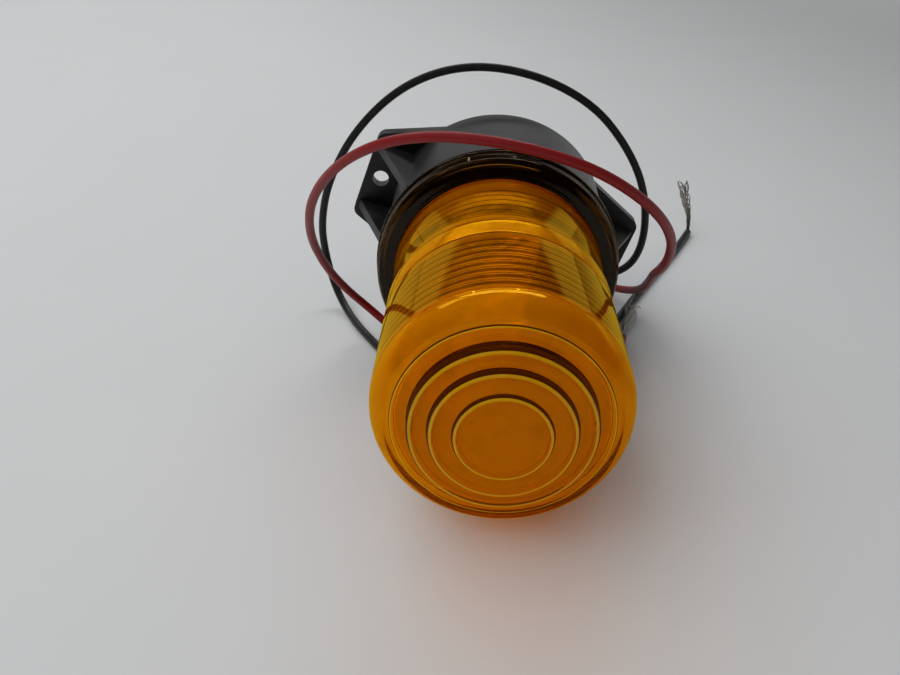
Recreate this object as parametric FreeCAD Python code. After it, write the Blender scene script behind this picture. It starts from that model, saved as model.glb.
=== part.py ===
"""Rotating beacon: a motor-driven reflector turns round a bayonet lamp under a screw-on ribbed jar lens.

The pieces are drawn upright on the beacon's axis: x towards the right-hand lug, z from the mounting face
towards the lens. Each one is then laid down by lay_down(), because the beacon lies on its side: the axis
ends along -Y, the mounting face's centre is the origin, and the lug line is rolled about the axis.
All sizes are in millimetres.
"""

import FreeCAD, Part
import math
import os

from FreeCAD import Vector

# ---- Fits ----
RUNNING = 0.05          # radial clearance of a shaft or sleeve that turns
SEATED = 0.02           # radial clearance of a piece pressed or glued in place
LOOSE = 0.4             # clearance round pieces that only have to miss each other

# ---- Lying pose ----
LUG_ROLL = 21.0         # degrees that the right-hand lug hangs below level

# ---- Base housing ----
BASE_R = 32.7           # outside of the cup
BASE_WALL = 2.6
BASE_FLOOR = 3.0        # thickness of the closed end that carries the mounting face
BASE_H = 36.0           # mounting face to the rim under the lens
BASE_EDGE = 1.2         # rounding of the cup's outer corner
COLLAR_R = 31.4         # outside of the lens collar
COLLAR_WALL = 2.8
COLLAR_H = 5.2

# ---- Mounting lugs ----
HOLE_SPACING = 76.2     # across the two mounting holes
HOLE_R = 2.5
LUG_END = 4.9           # mounting hole to the lug's outer edge
LUG_HALF_W = 13.5       # half the width of the outer edge
LUG_FLARE = 23.0        # degrees that the lug's sides open towards the cup
LUG_T = 4.0
LUG_CORNER = 3.0
GUSSET_T = 2.4
GUSSET_Y = 9.8          # lug line to a gusset's middle
GUSSET_TOP = 29.0       # height at which a gusset meets the cup
GUSSET_INSET = 1.0      # lug's outer edge to a gusset's foot

# ---- Chassis ----
CHASSIS_PROUD = 0.3     # chassis plate's top above the collar
CHASSIS_T = 1.5
BOSS_R = 3.2
BOSS_CIRCLE_R = 23.6         # axis to the chassis screws
BOSS_ANGLES = (60.0, 180.0, 300.0)
CHASSIS_SCREW_R = 1.5
CHASSIS_SCREW_L = 11.0
CHASSIS_HEAD_R = 2.7
CHASSIS_HEAD_H = 1.8
WIRE_HOLE_R = 1.6       # hole in the chassis for the lamp wire, inside the spring

# ---- Gear train ----
MODULE = 0.7
GEAR_TEETH = 38
PINION_TEETH = 10
GEAR_FACE = 4.0
PINION_FACE = 5.0
BACKLASH = 0.12         # taken off each flank
HUB_R = 12.6
HUB_H = 2.0             # hub above the toothed rim

# ---- Motor ----
MOTOR_R = 10.5
MOTOR_BOTTOM = 15.0     # height of the can's lower end, with room below for its tabs and the wires
MOTOR_NOSE_R = 3.0
MOTOR_NOSE_H = 1.2
END_CAP_R = 9.6
END_CAP_T = 3.0
STUB_R = 3.4            # bearing stub under the end cap
STUB_H = 1.0
SHAFT_R = 1.0
SHAFT_OVER = 1.0        # shaft beyond the pinion
MOTOR_SCREW_Y = 7.0
MOTOR_SCREW_R = 1.2
MOTOR_SCREW_L = 5.0
MOTOR_HEAD_R = 1.9
MOTOR_HEAD_H = 1.4
TERMINAL_Y = 4.6
TERMINAL_L = 3.6
TERMINAL_W = 2.0
TERMINAL_T = 0.5
CAPACITOR_R = 3.0
CAPACITOR_T = 2.2
CAPACITOR_LEG_R = 0.3

# ---- Lamp holder ----
HOLDER_R = 8.5
HOLDER_WALL = 0.8
HOLDER_H = 18.5         # chassis top to the holder's mouth
HOLDER_FLANGE_R = 10.4
HOLDER_FLANGE_T = 0.8
WASHER_T = 0.7
BUSH_WALL = 1.1
BUSH_L = 10.0
CLIP_T = 0.7
CLIP_R = 10.2
CLIP_GROOVE = 0.35      # depth of the clip's groove in the holder
INSULATOR_H = 1.6
PLUNGER_R = 1.8
PLUNGER_STEM_R = 1.1
SPRING_R = 2.4          # to the middle of the wire
SPRING_WIRE_R = 0.3
SPRING_H = 4.4
SPRING_TURNS = 3
SPRING_STEPS = 12       # points to a turn
PUSH = 1.5              # how far the lamp pushes in before it turns out

# ---- Bulb ----
CAP_R = 7.5
CAP_L = 13.0
CAP_WALL = 0.4
PIN_R = 1.0
PIN_TIP = 8.5           # axis to a bayonet pin's end
PIN_UP = 8.0            # cap's bottom to the pins
PIN_TURN = 25.0         # degrees from the slot's mouth to the pin's seat
CONTACT_R = 2.2
CONTACT_H = 0.5
GLASS_R = 9.0
GLASS_WALL = 0.7
GLASS_NECK_R = 6.6
GLASS_SEAT = 4.0        # how far the glass's neck goes into the cap
GLASS_PLUG_T = 2.0      # glass insulator that closes the cap
LIGHT_CENTRE = 22.5     # cap's bottom to the filament
FILAMENT_L = 5.0
FILAMENT_R = 0.5
SUPPORT_R = 0.3

# ---- Reflector and its carrier ----
FOCAL = 12.0            # focal length of the parabola
DISH_R = 24.0           # radius of the reflector's mouth
DISH_T = 0.9
NOTCH_CLEAR = 1.0       # the cut-out that lets the lamp into the dish, past the retaining clip
CARRIER_T = 1.0
CARRIER_W = 9.0
CARRIER_UP = 5.0        # upright beyond the rivet
RIVET_R = 1.2
RIVET_HEAD_R = 2.2
RIVET_HEAD_T = 0.6
CARRIER_SCREW_R = 0.7
CARRIER_SCREW_CIRCLE_R = 11.1
CARRIER_SCREW_L = 3.2
CARRIER_HEAD_R = 1.25
CARRIER_HEAD_H = 0.7

# ---- Lens ----
LENS_WALL = 2.4
SKIRT_WALL = 2.8
SKIRT_GAP = 0.3         # base rim to the skirt's edge
SKIRT_BEAD = 0.5        # how far the moulded lip at the skirt's edge is undercut
SHOULDER_T = 1.9        # wall over the gasket
NECK_R = 29.2           # outside of the neck at the shoulder
NECK_DRAFT = 0.8        # how much narrower the neck is where the body starts
BAND_H = 68.4           # height at which the plain band of the body starts
BAND_R = 29.45
BAND_T = 10.0
GROOVE = 0.35           # depth of the groove between the band and the ribbed body
BODY_R = 29.6
BODY_TOP_R = 30.1
BODY_TOP_H = 107.0
RIM_R = 26.8
RIM_H = 115.3
STEPS = ((24.7, 0.6), (20.0, 3.6), (15.4, 2.2), (10.1, 1.3))     # crest radius and rise of each step of the crown
STEP_RUN = 1.3          # how far a step's riser leans inwards
LAND_DISH = 0.12        # fall of the land behind a step, per millimetre towards the middle
PRISM_PITCH = 3.2       # annular prisms inside the body
PRISM_DEPTH = 0.7
PRISM_EDGE = 1.0        # plain bore above the first prism
NECK_PRISM_PITCH = 3.0  # shallower prisms inside the neck
NECK_PRISM_DEPTH = 0.4
GASKET_T = 1.2
GASKET_W = 2.2

# ---- Grommet and leads ----
GROMMET_R = 5.2
GROMMET_FLANGE_R = 6.6
GROMMET_FLANGE_T = 1.0
GROMMET_WAIST = 0.8
LEAD_R = 1.25
LEAD_PITCH = 4.4        # between the two leads in the grommet
STRAND_R = 0.28
INNER_WIRE_R = 0.75
WIRE_RISE = 4.0         # straight run of the inner wires above the grommet
WIRE_BEND = 14.0        # height above the grommet at which the longer wires lean over
WIRE_TURN = 9.0         # depth below the chassis plate at which they turn up again
TAG_R = 3.0
TAG_T = 0.8
TAG_X = -14.5           # place of the earth tag
TAG_Y = -8.0

# Routes of the two leads where they lie, in the finished part's own frame: X right, Y away from the lens,
# Z up. The first point is the mouth of the grommet, which the script works out.
FLOOR = -(COLLAR_R + LOOSE + SKIRT_WALL)
ON_FLOOR = FLOOR + LEAD_R
BLACK_ROUTE = (
    (-2.0, 10.8, 0.8), (3.0, 21.5, -4.0), (12.0, 28.0, -14.0), (24.5, 23.5, -26.5), (36.5, 15.5, -31.0),
    (46.0, 9.8, -24.5), (49.6, 7.5, -12.0), (48.0, 7.0, 5.0), (41.2, 7.0, 19.5), (29.8, 7.0, 33.2),
    (11.5, 7.0, 42.8), (-9.0, 7.0, 45.8), (-28.0, 7.0, 40.0), (-44.0, 7.5, 25.5), (-54.0, 8.5, 8.0),
    (-57.8, 10.0, -7.5), (-57.4, 11.0, -19.5), (-54.5, 6.0, -28.5), (-49.8, -2.5, ON_FLOOR),
    (-44.3, -14.5, ON_FLOOR), (-37.0, -27.0, ON_FLOOR), (-29.5, -40.0, ON_FLOOR), (-20.5, -54.5, ON_FLOOR),
    (-6.5, -61.0, ON_FLOOR),
    (9.0, -59.5, ON_FLOOR), (21.0, -49.0, ON_FLOOR), (30.0, -33.0, ON_FLOOR), (37.5, -15.0, ON_FLOOR),
    (47.0, 4.5, ON_FLOOR), (57.5, 24.0, ON_FLOOR), (67.0, 41.0, ON_FLOOR), (74.4, 57.0, ON_FLOOR),
)
RED_ROUTE = (
    (2.0, 10.5, -0.8), (5.5, 19.0, -6.8), (13.5, 22.5, -17.5), (26.0, 18.0, -27.5), (37.5, 9.0, -31.2),
    (45.5, -3.0, -27.0), (47.0, -18.5, -16.5), (45.0, -36.0, -3.5), (44.5, -54.0, 7.5),
    (42.6, -72.0, 24.0), (34.0, -85.0, 38.8), (18.5, -91.0, 50.8), (-2.0, -90.0, 56.3),
    (-21.0, -83.0, 55.0), (-36.5, -72.0, 46.0), (-48.0, -57.0, 30.5), (-53.0, -40.0, 12.0),
    (-51.8, -26.0, -5.0), (-47.5, -18.0, -17.0), (-41.0, -14.3, -26.0), (-33.4, -17.6, -31.8),
    (-27.5, -27.2, ON_FLOOR), (-25.0, -39.0, ON_FLOOR), (-21.5, -49.5, FLOOR + 6.6), (-18.5, -58.5, FLOOR + 6.6),
    (-13.5, -69.5, ON_FLOOR), (-1.0, -76.5, ON_FLOOR), (13.5, -73.5, ON_FLOOR), (25.5, -62.5, ON_FLOOR),
    (33.0, -48.0, ON_FLOOR), (37.4, -34.0, ON_FLOOR), (40.0, -21.5, ON_FLOOR),
)

# Where the bared strands end
RED_TIPS = ((45.0, -5.0, ON_FLOOR + 1.5), (46.6, -4.0, ON_FLOOR + 0.2), (47.4, -6.5, ON_FLOOR + 0.6),
            (45.6, -7.5, ON_FLOOR + 2.2), (44.6, -8.5, ON_FLOOR + 0.4))
BLACK_TIPS = ((71.6, 62.0, ON_FLOOR + 19.0), (70.1, 63.0, ON_FLOOR + 17.5), (74.0, 64.0, ON_FLOOR + 16.0),
              (72.5, 62.5, ON_FLOOR + 14.0), (69.6, 62.0, ON_FLOOR + 12.0))

# ---- Sizes that follow from the ones above ----
LUG_REACH = HOLE_SPACING / 2 + LUG_END
COLLAR_TOP = BASE_H + COLLAR_H
COLLAR_BORE_R = COLLAR_R - COLLAR_WALL
CHASSIS_TOP = COLLAR_TOP + CHASSIS_PROUD
CHASSIS_H = CHASSIS_TOP - CHASSIS_T
CHASSIS_R = COLLAR_BORE_R - LOOSE
GEAR_H = CHASSIS_TOP + HOLDER_FLANGE_T + WASHER_T
GEAR_PITCH_R = MODULE * GEAR_TEETH / 2
PINION_PITCH_R = MODULE * PINION_TEETH / 2
MOTOR_X = GEAR_PITCH_R + PINION_PITCH_R
PINION_H = GEAR_H - (PINION_FACE - GEAR_FACE) / 2
SHAFT_TOP = PINION_H + PINION_FACE + SHAFT_OVER
HUB_TOP = GEAR_H + GEAR_FACE + HUB_H
BUSH_BORE_R = HOLDER_R + RUNNING
BUSH_R = BUSH_BORE_R + BUSH_WALL
HOLDER_BORE_R = HOLDER_R - HOLDER_WALL
HOLDER_TOP = CHASSIS_TOP + HOLDER_H
CARRIER_TOP = HUB_TOP + CARRIER_T
CARRIER_X = -(FOCAL + DISH_T)
END_CAP_BOTTOM = MOTOR_BOTTOM - END_CAP_T
SPRING_BOTTOM = CHASSIS_TOP
PLUNGER_BOTTOM = SPRING_BOTTOM + SPRING_H
INSULATOR_TOP = PLUNGER_BOTTOM + INSULATOR_H
CAP_BOTTOM = INSULATOR_TOP + CONTACT_H + CONTACT_H
CAP_TOP = CAP_BOTTOM + CAP_L
FOCUS_H = CAP_BOTTOM + LIGHT_CENTRE
GASKET_TOP = COLLAR_TOP + GASKET_T
SKIRT_R = COLLAR_R + LOOSE + SKIRT_WALL
SKIRT_BOTTOM = BASE_H + SKIRT_GAP
SHOULDER_TOP = GASKET_TOP + SHOULDER_T


# ---- Small helpers ----

def cylinder(radius, bottom, top, x=0.0, y=0.0):
    """A round bar about a line parallel to the axis."""
    return Part.makeCylinder(radius, top - bottom, Vector(x, y, bottom))


def ring(inner, outer, bottom, top, x=0.0, y=0.0):
    """A round tube or washer about a line parallel to the axis."""
    return cylinder(outer, bottom, top, x, y).cut(cylinder(inner, bottom - 1, top + 1, x, y))


def block(x0, x1, y0, y1, z0, z1):
    """A box between two corners."""
    return Part.makeBox(x1 - x0, y1 - y0, z1 - z0, Vector(x0, y0, z0))


def polar(radius, degrees):
    """The x and y of a point at a radius and an angle about the axis."""
    angle = math.radians(degrees)
    return radius * math.cos(angle), radius * math.sin(angle)


def revolved(edges):
    """A solid of revolution about the axis from edges that close an outline in the xz plane."""
    face = Part.Face(Part.Wire(Part.__sortEdges__(edges)))
    return face.revolve(Vector(0, 0, 0), Vector(0, 0, 1), 360)


def outline(points):
    """Straight edges through (radius, height) points, closed back to the first."""
    corners = [Vector(r, 0, z) for r, z in points]
    return [Part.LineSegment(a, b).toShape() for a, b in zip(corners, corners[1:] + corners[:1])]


def prism(points, bottom, top):
    """A plate with straight sides from (x, y) points."""
    corners = [Vector(x, y, bottom) for x, y in points]
    face = Part.Face(Part.makePolygon(corners + corners[:1]))
    return face.extrude(Vector(0, 0, top - bottom))


def group(solids):
    """Separate solids kept together as one sub-part."""
    return Part.makeCompound(solids)


def rounded_path(points):
    """Straight runs joined by tangent arcs through a route's corners, and the arcs' radii."""
    route = [Vector(*p) for p in points]
    edges, radii, start = [], [], route[0]
    for before, corner, after in zip(route, route[1:], route[2:]):
        into, out = corner - before, after - corner
        half_turn = into.getAngle(out) / 2
        cut_back = 0.45 * min(into.Length, out.Length)
        radii.append(cut_back / math.tan(half_turn))
        first = corner - into.normalize() * cut_back
        last = corner + out.normalize() * cut_back
        inward = (first + last) * 0.5 - corner
        middle = corner + inward.normalize() * radii[-1] * (1 / math.cos(half_turn) - 1)
        edges.append(Part.LineSegment(start, first).toShape())
        edges.append(Part.Arc(first, middle, last).toShape())
        start = last
    edges.append(Part.LineSegment(start, route[-1]).toShape())
    return Part.Wire(edges), radii


def tube_along(points, radius):
    """A round wire that follows a route, with its path and bend radii."""
    path, radii = rounded_path(points)
    direction = Vector(*points[1]) - Vector(*points[0])
    disc = Part.Wire(Part.makeCircle(radius, Vector(*points[0]), direction))
    solid = path.makePipeShell([disc], True, False)
    return solid, path, radii


def lay_down(shape):
    """Carries an upright piece to the lying pose: roll about the axis, then the axis onto -Y."""
    laid = shape.copy()
    laid.rotate(Vector(0, 0, 0), Vector(0, 0, 1), -LUG_ROLL)
    laid.rotate(Vector(0, 0, 0), Vector(1, 0, 0), 90)
    return laid


def lie_point(x, y, z):
    """The lying place of an upright point."""
    roll = math.radians(LUG_ROLL)
    return (x * math.cos(roll) + y * math.sin(roll), -z, -x * math.sin(roll) + y * math.cos(roll))


# ---- Base housing ----

def lug(side):
    """One mounting lug: a plate that widens towards the cup, with rounded outer corners."""
    root_x = BASE_R * 0.5
    root_y = LUG_HALF_W + (LUG_REACH - root_x) * math.tan(math.radians(LUG_FLARE))
    plate = prism([(root_x, -root_y), (LUG_REACH, -LUG_HALF_W), (LUG_REACH, LUG_HALF_W), (root_x, root_y)], 0, LUG_T)
    corners = [e for e in plate.Edges if abs(e.CenterOfMass.x - LUG_REACH) < 0.01
               and abs(e.CenterOfMass.y) > LUG_HALF_W - 0.01]
    plate = plate.makeFillet(LUG_CORNER, corners)
    if side < 0:
        plate.rotate(Vector(0, 0, 0), Vector(0, 0, 1), 180)
    return plate


def gusset(side, y):
    """A triangular rib from a lug's outer edge up the cup's wall."""
    foot = LUG_REACH - GUSSET_INSET
    wall = math.sqrt(BASE_R ** 2 - (abs(y) - GUSSET_T / 2) ** 2)
    inside = BASE_R - BASE_WALL
    corners = [Vector(side * x, y - GUSSET_T / 2, z) for x, z in
               ((inside - 1, LUG_T / 2), (foot, LUG_T / 2), (foot, LUG_T + 0.4), (wall, GUSSET_TOP),
                (inside - 1, GUSSET_TOP))]
    face = Part.Face(Part.makePolygon(corners + corners[:1]))
    return face.extrude(Vector(0, GUSSET_T, 0))


def base_housing():
    """The black cup: closed end, threaded collar for the lens, two gusseted lugs and three screw bosses."""
    inner = BASE_R - BASE_WALL
    shell = revolved(outline([
        (0, 0), (BASE_R - BASE_EDGE, 0), (BASE_R, BASE_EDGE), (BASE_R, BASE_H), (COLLAR_R, BASE_H),
        (COLLAR_R, COLLAR_TOP - 0.6), (COLLAR_R - 0.6, COLLAR_TOP), (COLLAR_BORE_R, COLLAR_TOP),
        (COLLAR_BORE_R, BASE_H - BASE_WALL), (inner, BASE_H - 2 * BASE_WALL), (inner, BASE_FLOOR),
        (0, BASE_FLOOR)]))
    outside = lug(1).fuse(lug(-1))
    for side in (1, -1):
        for y in (GUSSET_Y, -GUSSET_Y):
            outside = outside.fuse(gusset(side, y))
    outside = outside.cut(cylinder(inner, -1, BASE_H))
    body = shell.fuse(outside)
    for angle in BOSS_ANGLES:
        x, y = polar(BOSS_CIRCLE_R, angle)
        boss = cylinder(BOSS_R, BASE_FLOOR / 2, CHASSIS_H, x, y)
        web = block(BOSS_CIRCLE_R, inner + BASE_WALL / 2, -BOSS_R / 2, BOSS_R / 2, BASE_FLOOR / 2, BASE_H - 2 * BASE_WALL)
        web.rotate(Vector(0, 0, 0), Vector(0, 0, 1), angle)
        body = body.fuse(boss).fuse(web)
    for angle in BOSS_ANGLES:
        x, y = polar(BOSS_CIRCLE_R, angle)
        body = body.cut(cylinder(CHASSIS_SCREW_R + RUNNING, CHASSIS_TOP - CHASSIS_SCREW_L - 1, CHASSIS_H + 1, x, y))
    for side in (1, -1):
        body = body.cut(cylinder(HOLE_R, -1, LUG_T + 1, side * HOLE_SPACING / 2))
    body = body.cut(cylinder(GROMMET_R, -1, BASE_FLOOR + 1))
    return body.removeSplitter()


def lead_grommet():
    """The rubber grommet in the mounting face's centre, flush outside, with a hole for each lead."""
    body = revolved(outline([
        (0, 0), (GROMMET_R - SEATED, 0), (GROMMET_R - SEATED, BASE_FLOOR),
        (GROMMET_FLANGE_R, BASE_FLOOR), (GROMMET_FLANGE_R - 0.4, BASE_FLOOR + GROMMET_FLANGE_T),
        (0, BASE_FLOOR + GROMMET_FLANGE_T)]))
    for side in (1, -1):
        body = body.cut(cylinder(LEAD_R + SEATED, -1, BASE_FLOOR + GROMMET_FLANGE_T + 1, side * LEAD_PITCH / 2))
    return body


# ---- Chassis and motor ----

def chassis_plate():
    """The round plate that carries the motor and the lamp holder."""
    plate = cylinder(CHASSIS_R, CHASSIS_H, CHASSIS_TOP)
    holes = [(WIRE_HOLE_R, 0, 0), (MOTOR_NOSE_R + LOOSE / 2, MOTOR_X, 0),
             (MOTOR_SCREW_R + LOOSE / 2, MOTOR_X, MOTOR_SCREW_Y), (MOTOR_SCREW_R + LOOSE / 2, MOTOR_X, -MOTOR_SCREW_Y)]
    holes += [(CHASSIS_SCREW_R + LOOSE / 2, *polar(BOSS_CIRCLE_R, angle)) for angle in BOSS_ANGLES]
    for radius, x, y in holes:
        plate = plate.cut(cylinder(radius, CHASSIS_H - 1, CHASSIS_TOP + 1, x, y))
    return plate


def screw(shank_r, shank_l, head_r, head_h, x, y, seat):
    """A pan-head screw whose head sits on a face at height seat."""
    shank = cylinder(shank_r, seat - shank_l, seat + head_h / 2, x, y)
    head = cylinder(head_r, seat, seat + head_h, x, y)
    top = [e for e in head.Edges if abs(e.CenterOfMass.z - seat - head_h) < 0.01 and e.Length > head_r]
    head = head.makeFillet(head_h * 0.45, top)
    slot = block(x - head_r, x + head_r, y - head_r * 0.14, y + head_r * 0.14, seat + head_h * 0.6, seat + head_h + 1)
    return shank.fuse(head).cut(slot)


def chassis_screws():
    """The three screws that hold the chassis plate on its bosses."""
    return group([screw(CHASSIS_SCREW_R, CHASSIS_SCREW_L, CHASSIS_HEAD_R, CHASSIS_HEAD_H,
                        *polar(BOSS_CIRCLE_R, angle), CHASSIS_TOP) for angle in BOSS_ANGLES])


def motor_can():
    """The steel can of the motor, with its nose in the chassis plate and two tapped holes."""
    can = cylinder(MOTOR_R, MOTOR_BOTTOM, CHASSIS_H, MOTOR_X)
    lower = [e for e in can.Edges if abs(e.CenterOfMass.z - MOTOR_BOTTOM) < 0.01 and e.Length > MOTOR_R]
    can = can.makeFillet(1.0, lower)
    can = can.fuse(cylinder(MOTOR_NOSE_R, CHASSIS_H - 1, CHASSIS_H + MOTOR_NOSE_H, MOTOR_X))
    can = can.cut(cylinder(SHAFT_R + RUNNING, MOTOR_BOTTOM - 1, CHASSIS_TOP + 1, MOTOR_X))
    for y in (MOTOR_SCREW_Y, -MOTOR_SCREW_Y):
        hole_bottom = CHASSIS_TOP - MOTOR_SCREW_L - 0.5
        can = can.cut(cylinder(MOTOR_SCREW_R + RUNNING, hole_bottom, CHASSIS_TOP, MOTOR_X, y))
    return can


def motor_screws():
    """The two screws through the chassis plate into the motor."""
    return group([screw(MOTOR_SCREW_R, MOTOR_SCREW_L, MOTOR_HEAD_R, MOTOR_HEAD_H, MOTOR_X, y, CHASSIS_TOP)
                  for y in (MOTOR_SCREW_Y, -MOTOR_SCREW_Y)])


def motor_end_cap():
    """The moulded end of the motor that holds its brushes, with the shaft's rear bearing."""
    cap = cylinder(END_CAP_R, END_CAP_BOTTOM, MOTOR_BOTTOM, MOTOR_X)
    cap = cap.fuse(cylinder(STUB_R, END_CAP_BOTTOM - STUB_H, MOTOR_BOTTOM, MOTOR_X))
    return cap.cut(cylinder(SHAFT_R + RUNNING, END_CAP_BOTTOM + 0.5, MOTOR_BOTTOM + 1, MOTOR_X))


def terminal(y):
    """One solder tab of the motor."""
    return block(MOTOR_X - TERMINAL_W / 2, MOTOR_X + TERMINAL_W / 2, y - TERMINAL_T / 2, y + TERMINAL_T / 2,
                 END_CAP_BOTTOM - TERMINAL_L, END_CAP_BOTTOM)


def motor_terminals():
    """The motor's two solder tabs."""
    return group([terminal(TERMINAL_Y), terminal(-TERMINAL_Y)])


def suppressor_capacitor():
    """The disc capacitor soldered between the motor's tabs."""
    height = END_CAP_BOTTOM - STUB_H - CAPACITOR_R - LOOSE
    disc = Part.makeCylinder(CAPACITOR_R, CAPACITOR_T, Vector(MOTOR_X - CAPACITOR_T / 2, 0, height), Vector(1, 0, 0))
    reach = TERMINAL_Y - TERMINAL_T / 2
    leg_h = END_CAP_BOTTOM - TERMINAL_L * 0.7
    leg = Part.makeCylinder(CAPACITOR_LEG_R, 2 * reach, Vector(MOTOR_X, -reach, leg_h), Vector(0, 1, 0))
    return disc.fuse(leg)


def motor_shaft():
    """The motor's shaft, from its rear bearing to beyond the pinion."""
    return cylinder(SHAFT_R, END_CAP_BOTTOM + 0.5 + RUNNING, SHAFT_TOP, MOTOR_X)


# ---- Gears ----

def gear_blank(teeth, bottom, face, mesh_angle):
    """Spur gear teeth with curved flanks, cut about the axis, with one tooth centred on mesh_angle."""
    pitch_r = MODULE * teeth / 2
    tip_r, root_r = pitch_r + MODULE * 0.95, pitch_r - MODULE * 1.2
    quarter = math.pi / (2 * teeth)
    thin = BACKLASH / pitch_r / 2

    def corner(radius, angle):
        return Vector(radius * math.cos(angle), radius * math.sin(angle), bottom)

    edges = []
    for k in range(teeth):
        middle = math.radians(mesh_angle) + 2 * math.pi * k / teeth
        following = middle + 2 * math.pi / teeth
        half_root, half_pitch, half_tip = quarter * 1.55 - thin, quarter - thin, quarter * 0.42 - thin / 2
        for sign in (-1, 1):
            flank = [corner(root_r, middle + sign * half_root), corner(pitch_r, middle + sign * half_pitch),
                     corner(tip_r, middle + sign * half_tip)]
            edges.append(Part.Arc(*flank).toShape())
        edges.append(Part.LineSegment(corner(tip_r, middle - half_tip), corner(tip_r, middle + half_tip)).toShape())
        edges.append(Part.LineSegment(corner(root_r, middle + half_root),
                                      corner(root_r, following - half_root)).toShape())
    face_of_teeth = Part.Face(Part.Wire(Part.__sortEdges__(edges)))
    return face_of_teeth.extrude(Vector(0, 0, face))


def drive_gear():
    """The acetal gear that carries the reflector, with its hub and four lightening holes."""
    gear = gear_blank(GEAR_TEETH, GEAR_H, GEAR_FACE, 0)
    gear = gear.fuse(cylinder(HUB_R, GEAR_H + GEAR_FACE - 1, HUB_TOP))
    gear = gear.cut(cylinder(BUSH_R + SEATED, GEAR_H - 1, HUB_TOP + 1))
    for side in (1, -1):
        gear = gear.cut(cylinder(CARRIER_SCREW_R + SEATED, HUB_TOP + CARRIER_T - CARRIER_SCREW_L - 0.2, HUB_TOP + 1,
                                 0, side * CARRIER_SCREW_CIRCLE_R))
    return gear


def pinion():
    """The motor's brass pinion, with a gap between two teeth facing the gear."""
    gear = gear_blank(PINION_TEETH, PINION_H, PINION_FACE, 180 + 180 / PINION_TEETH)
    gear.translate(Vector(MOTOR_X, 0, 0))
    return gear.cut(cylinder(SHAFT_R + SEATED, PINION_H - 1, PINION_H + PINION_FACE + 1, MOTOR_X))


# ---- Lamp holder ----

def lamp_holder():
    """The bayonet holder: a flanged sleeve with two slots and a groove for the retaining clip."""
    bottom = CHASSIS_TOP
    holder = cylinder(HOLDER_R, bottom, HOLDER_TOP)
    holder = holder.fuse(cylinder(HOLDER_FLANGE_R, bottom, bottom + HOLDER_FLANGE_T))
    holder = holder.cut(cylinder(HOLDER_BORE_R, bottom - 1, HOLDER_TOP + 1))
    groove_bottom = GEAR_H + BUSH_L + RUNNING
    holder = holder.cut(ring(HOLDER_R - CLIP_GROOVE, HOLDER_R + 1, groove_bottom, groove_bottom + CLIP_T))
    pin_h = CAP_BOTTOM + PIN_UP
    width = PIN_R + LOOSE / 2
    slots = []
    for start in (90, 270):
        mouth = block(0, HOLDER_R + 1, -width, width, pin_h - width - PUSH, HOLDER_TOP + 1)
        mouth.rotate(Vector(0, 0, 0), Vector(0, 0, 1), start)
        sector = Part.makeCylinder(HOLDER_R + 1, 2 * width + PUSH, Vector(0, 0, pin_h - width - PUSH),
                                   Vector(0, 0, 1), PIN_TURN)
        sector.rotate(Vector(0, 0, 0), Vector(0, 0, 1), start - PIN_TURN)
        seat = block(0, HOLDER_R + 1, -width, width, pin_h - width - PUSH, pin_h + width)
        seat.rotate(Vector(0, 0, 0), Vector(0, 0, 1), start - PIN_TURN)
        slots += [mouth, sector, seat]
    for cutter in slots:
        holder = holder.cut(cutter)
    return holder


def thrust_washer():
    """The nylon washer that the gear turns on."""
    bottom = CHASSIS_TOP + HOLDER_FLANGE_T
    return ring(HOLDER_R + SEATED, HOLDER_FLANGE_R, bottom, bottom + WASHER_T)


def retaining_clip():
    """The open spring clip in the holder's groove, which keeps the rotor on."""
    bottom = GEAR_H + BUSH_L + RUNNING
    clip = ring(HOLDER_R - CLIP_GROOVE + SEATED, CLIP_R, bottom + SEATED, bottom + CLIP_T - SEATED)
    return clip.cut(block(0, CLIP_R + 1, -2.2, 2.2, bottom - 1, bottom + CLIP_T + 1))


def contact_insulator():
    """The fibre disc that carries the centre contact in the holder."""
    disc = cylinder(HOLDER_BORE_R - RUNNING, PLUNGER_BOTTOM, INSULATOR_TOP)
    return disc.cut(cylinder(PLUNGER_STEM_R + SEATED, PLUNGER_BOTTOM - 1, INSULATOR_TOP + 1))


def contact_plunger():
    """The brass centre contact: a head above the insulator and a stem inside the spring."""
    stem = cylinder(PLUNGER_STEM_R, SPRING_BOTTOM + SPRING_H * 0.5, INSULATOR_TOP)
    return stem.fuse(cylinder(PLUNGER_R, INSULATOR_TOP, INSULATOR_TOP + CONTACT_H))


def contact_spring():
    """The coil spring under the insulator."""
    low = SPRING_BOTTOM + SPRING_WIRE_R + RUNNING
    rise = SPRING_H - 2 * (SPRING_WIRE_R + RUNNING)
    steps = SPRING_TURNS * SPRING_STEPS
    helix = [(*polar(SPRING_R, 360 * k / SPRING_STEPS), low + rise * k / steps) for k in range(steps + 1)]
    return tube_along(helix, SPRING_WIRE_R)[0]


# ---- Bulb ----

def bulb_cap():
    """The brass bayonet cap with its two pins."""
    cap = ring(CAP_R - CAP_WALL, CAP_R, CAP_BOTTOM, CAP_TOP)
    pin_h = CAP_BOTTOM + PIN_UP
    for start in (90, 270):
        pin = Part.makeCylinder(PIN_R, PIN_TIP - CAP_R + CAP_WALL, Vector(CAP_R - CAP_WALL, 0, pin_h), Vector(1, 0, 0))
        pin.rotate(Vector(0, 0, 0), Vector(0, 0, 1), start - PIN_TURN)
        cap = cap.fuse(pin)
    return cap


def bulb_insulator():
    """The glass insulator that closes the cap, with the lead solder contact in its middle."""
    return cylinder(CAP_R - CAP_WALL - SEATED, CAP_BOTTOM, CAP_BOTTOM + GLASS_PLUG_T)


def bulb_contact():
    """The solder button of the bulb's centre contact."""
    return cylinder(CONTACT_R, CAP_BOTTOM - CONTACT_H, CAP_BOTTOM)


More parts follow.
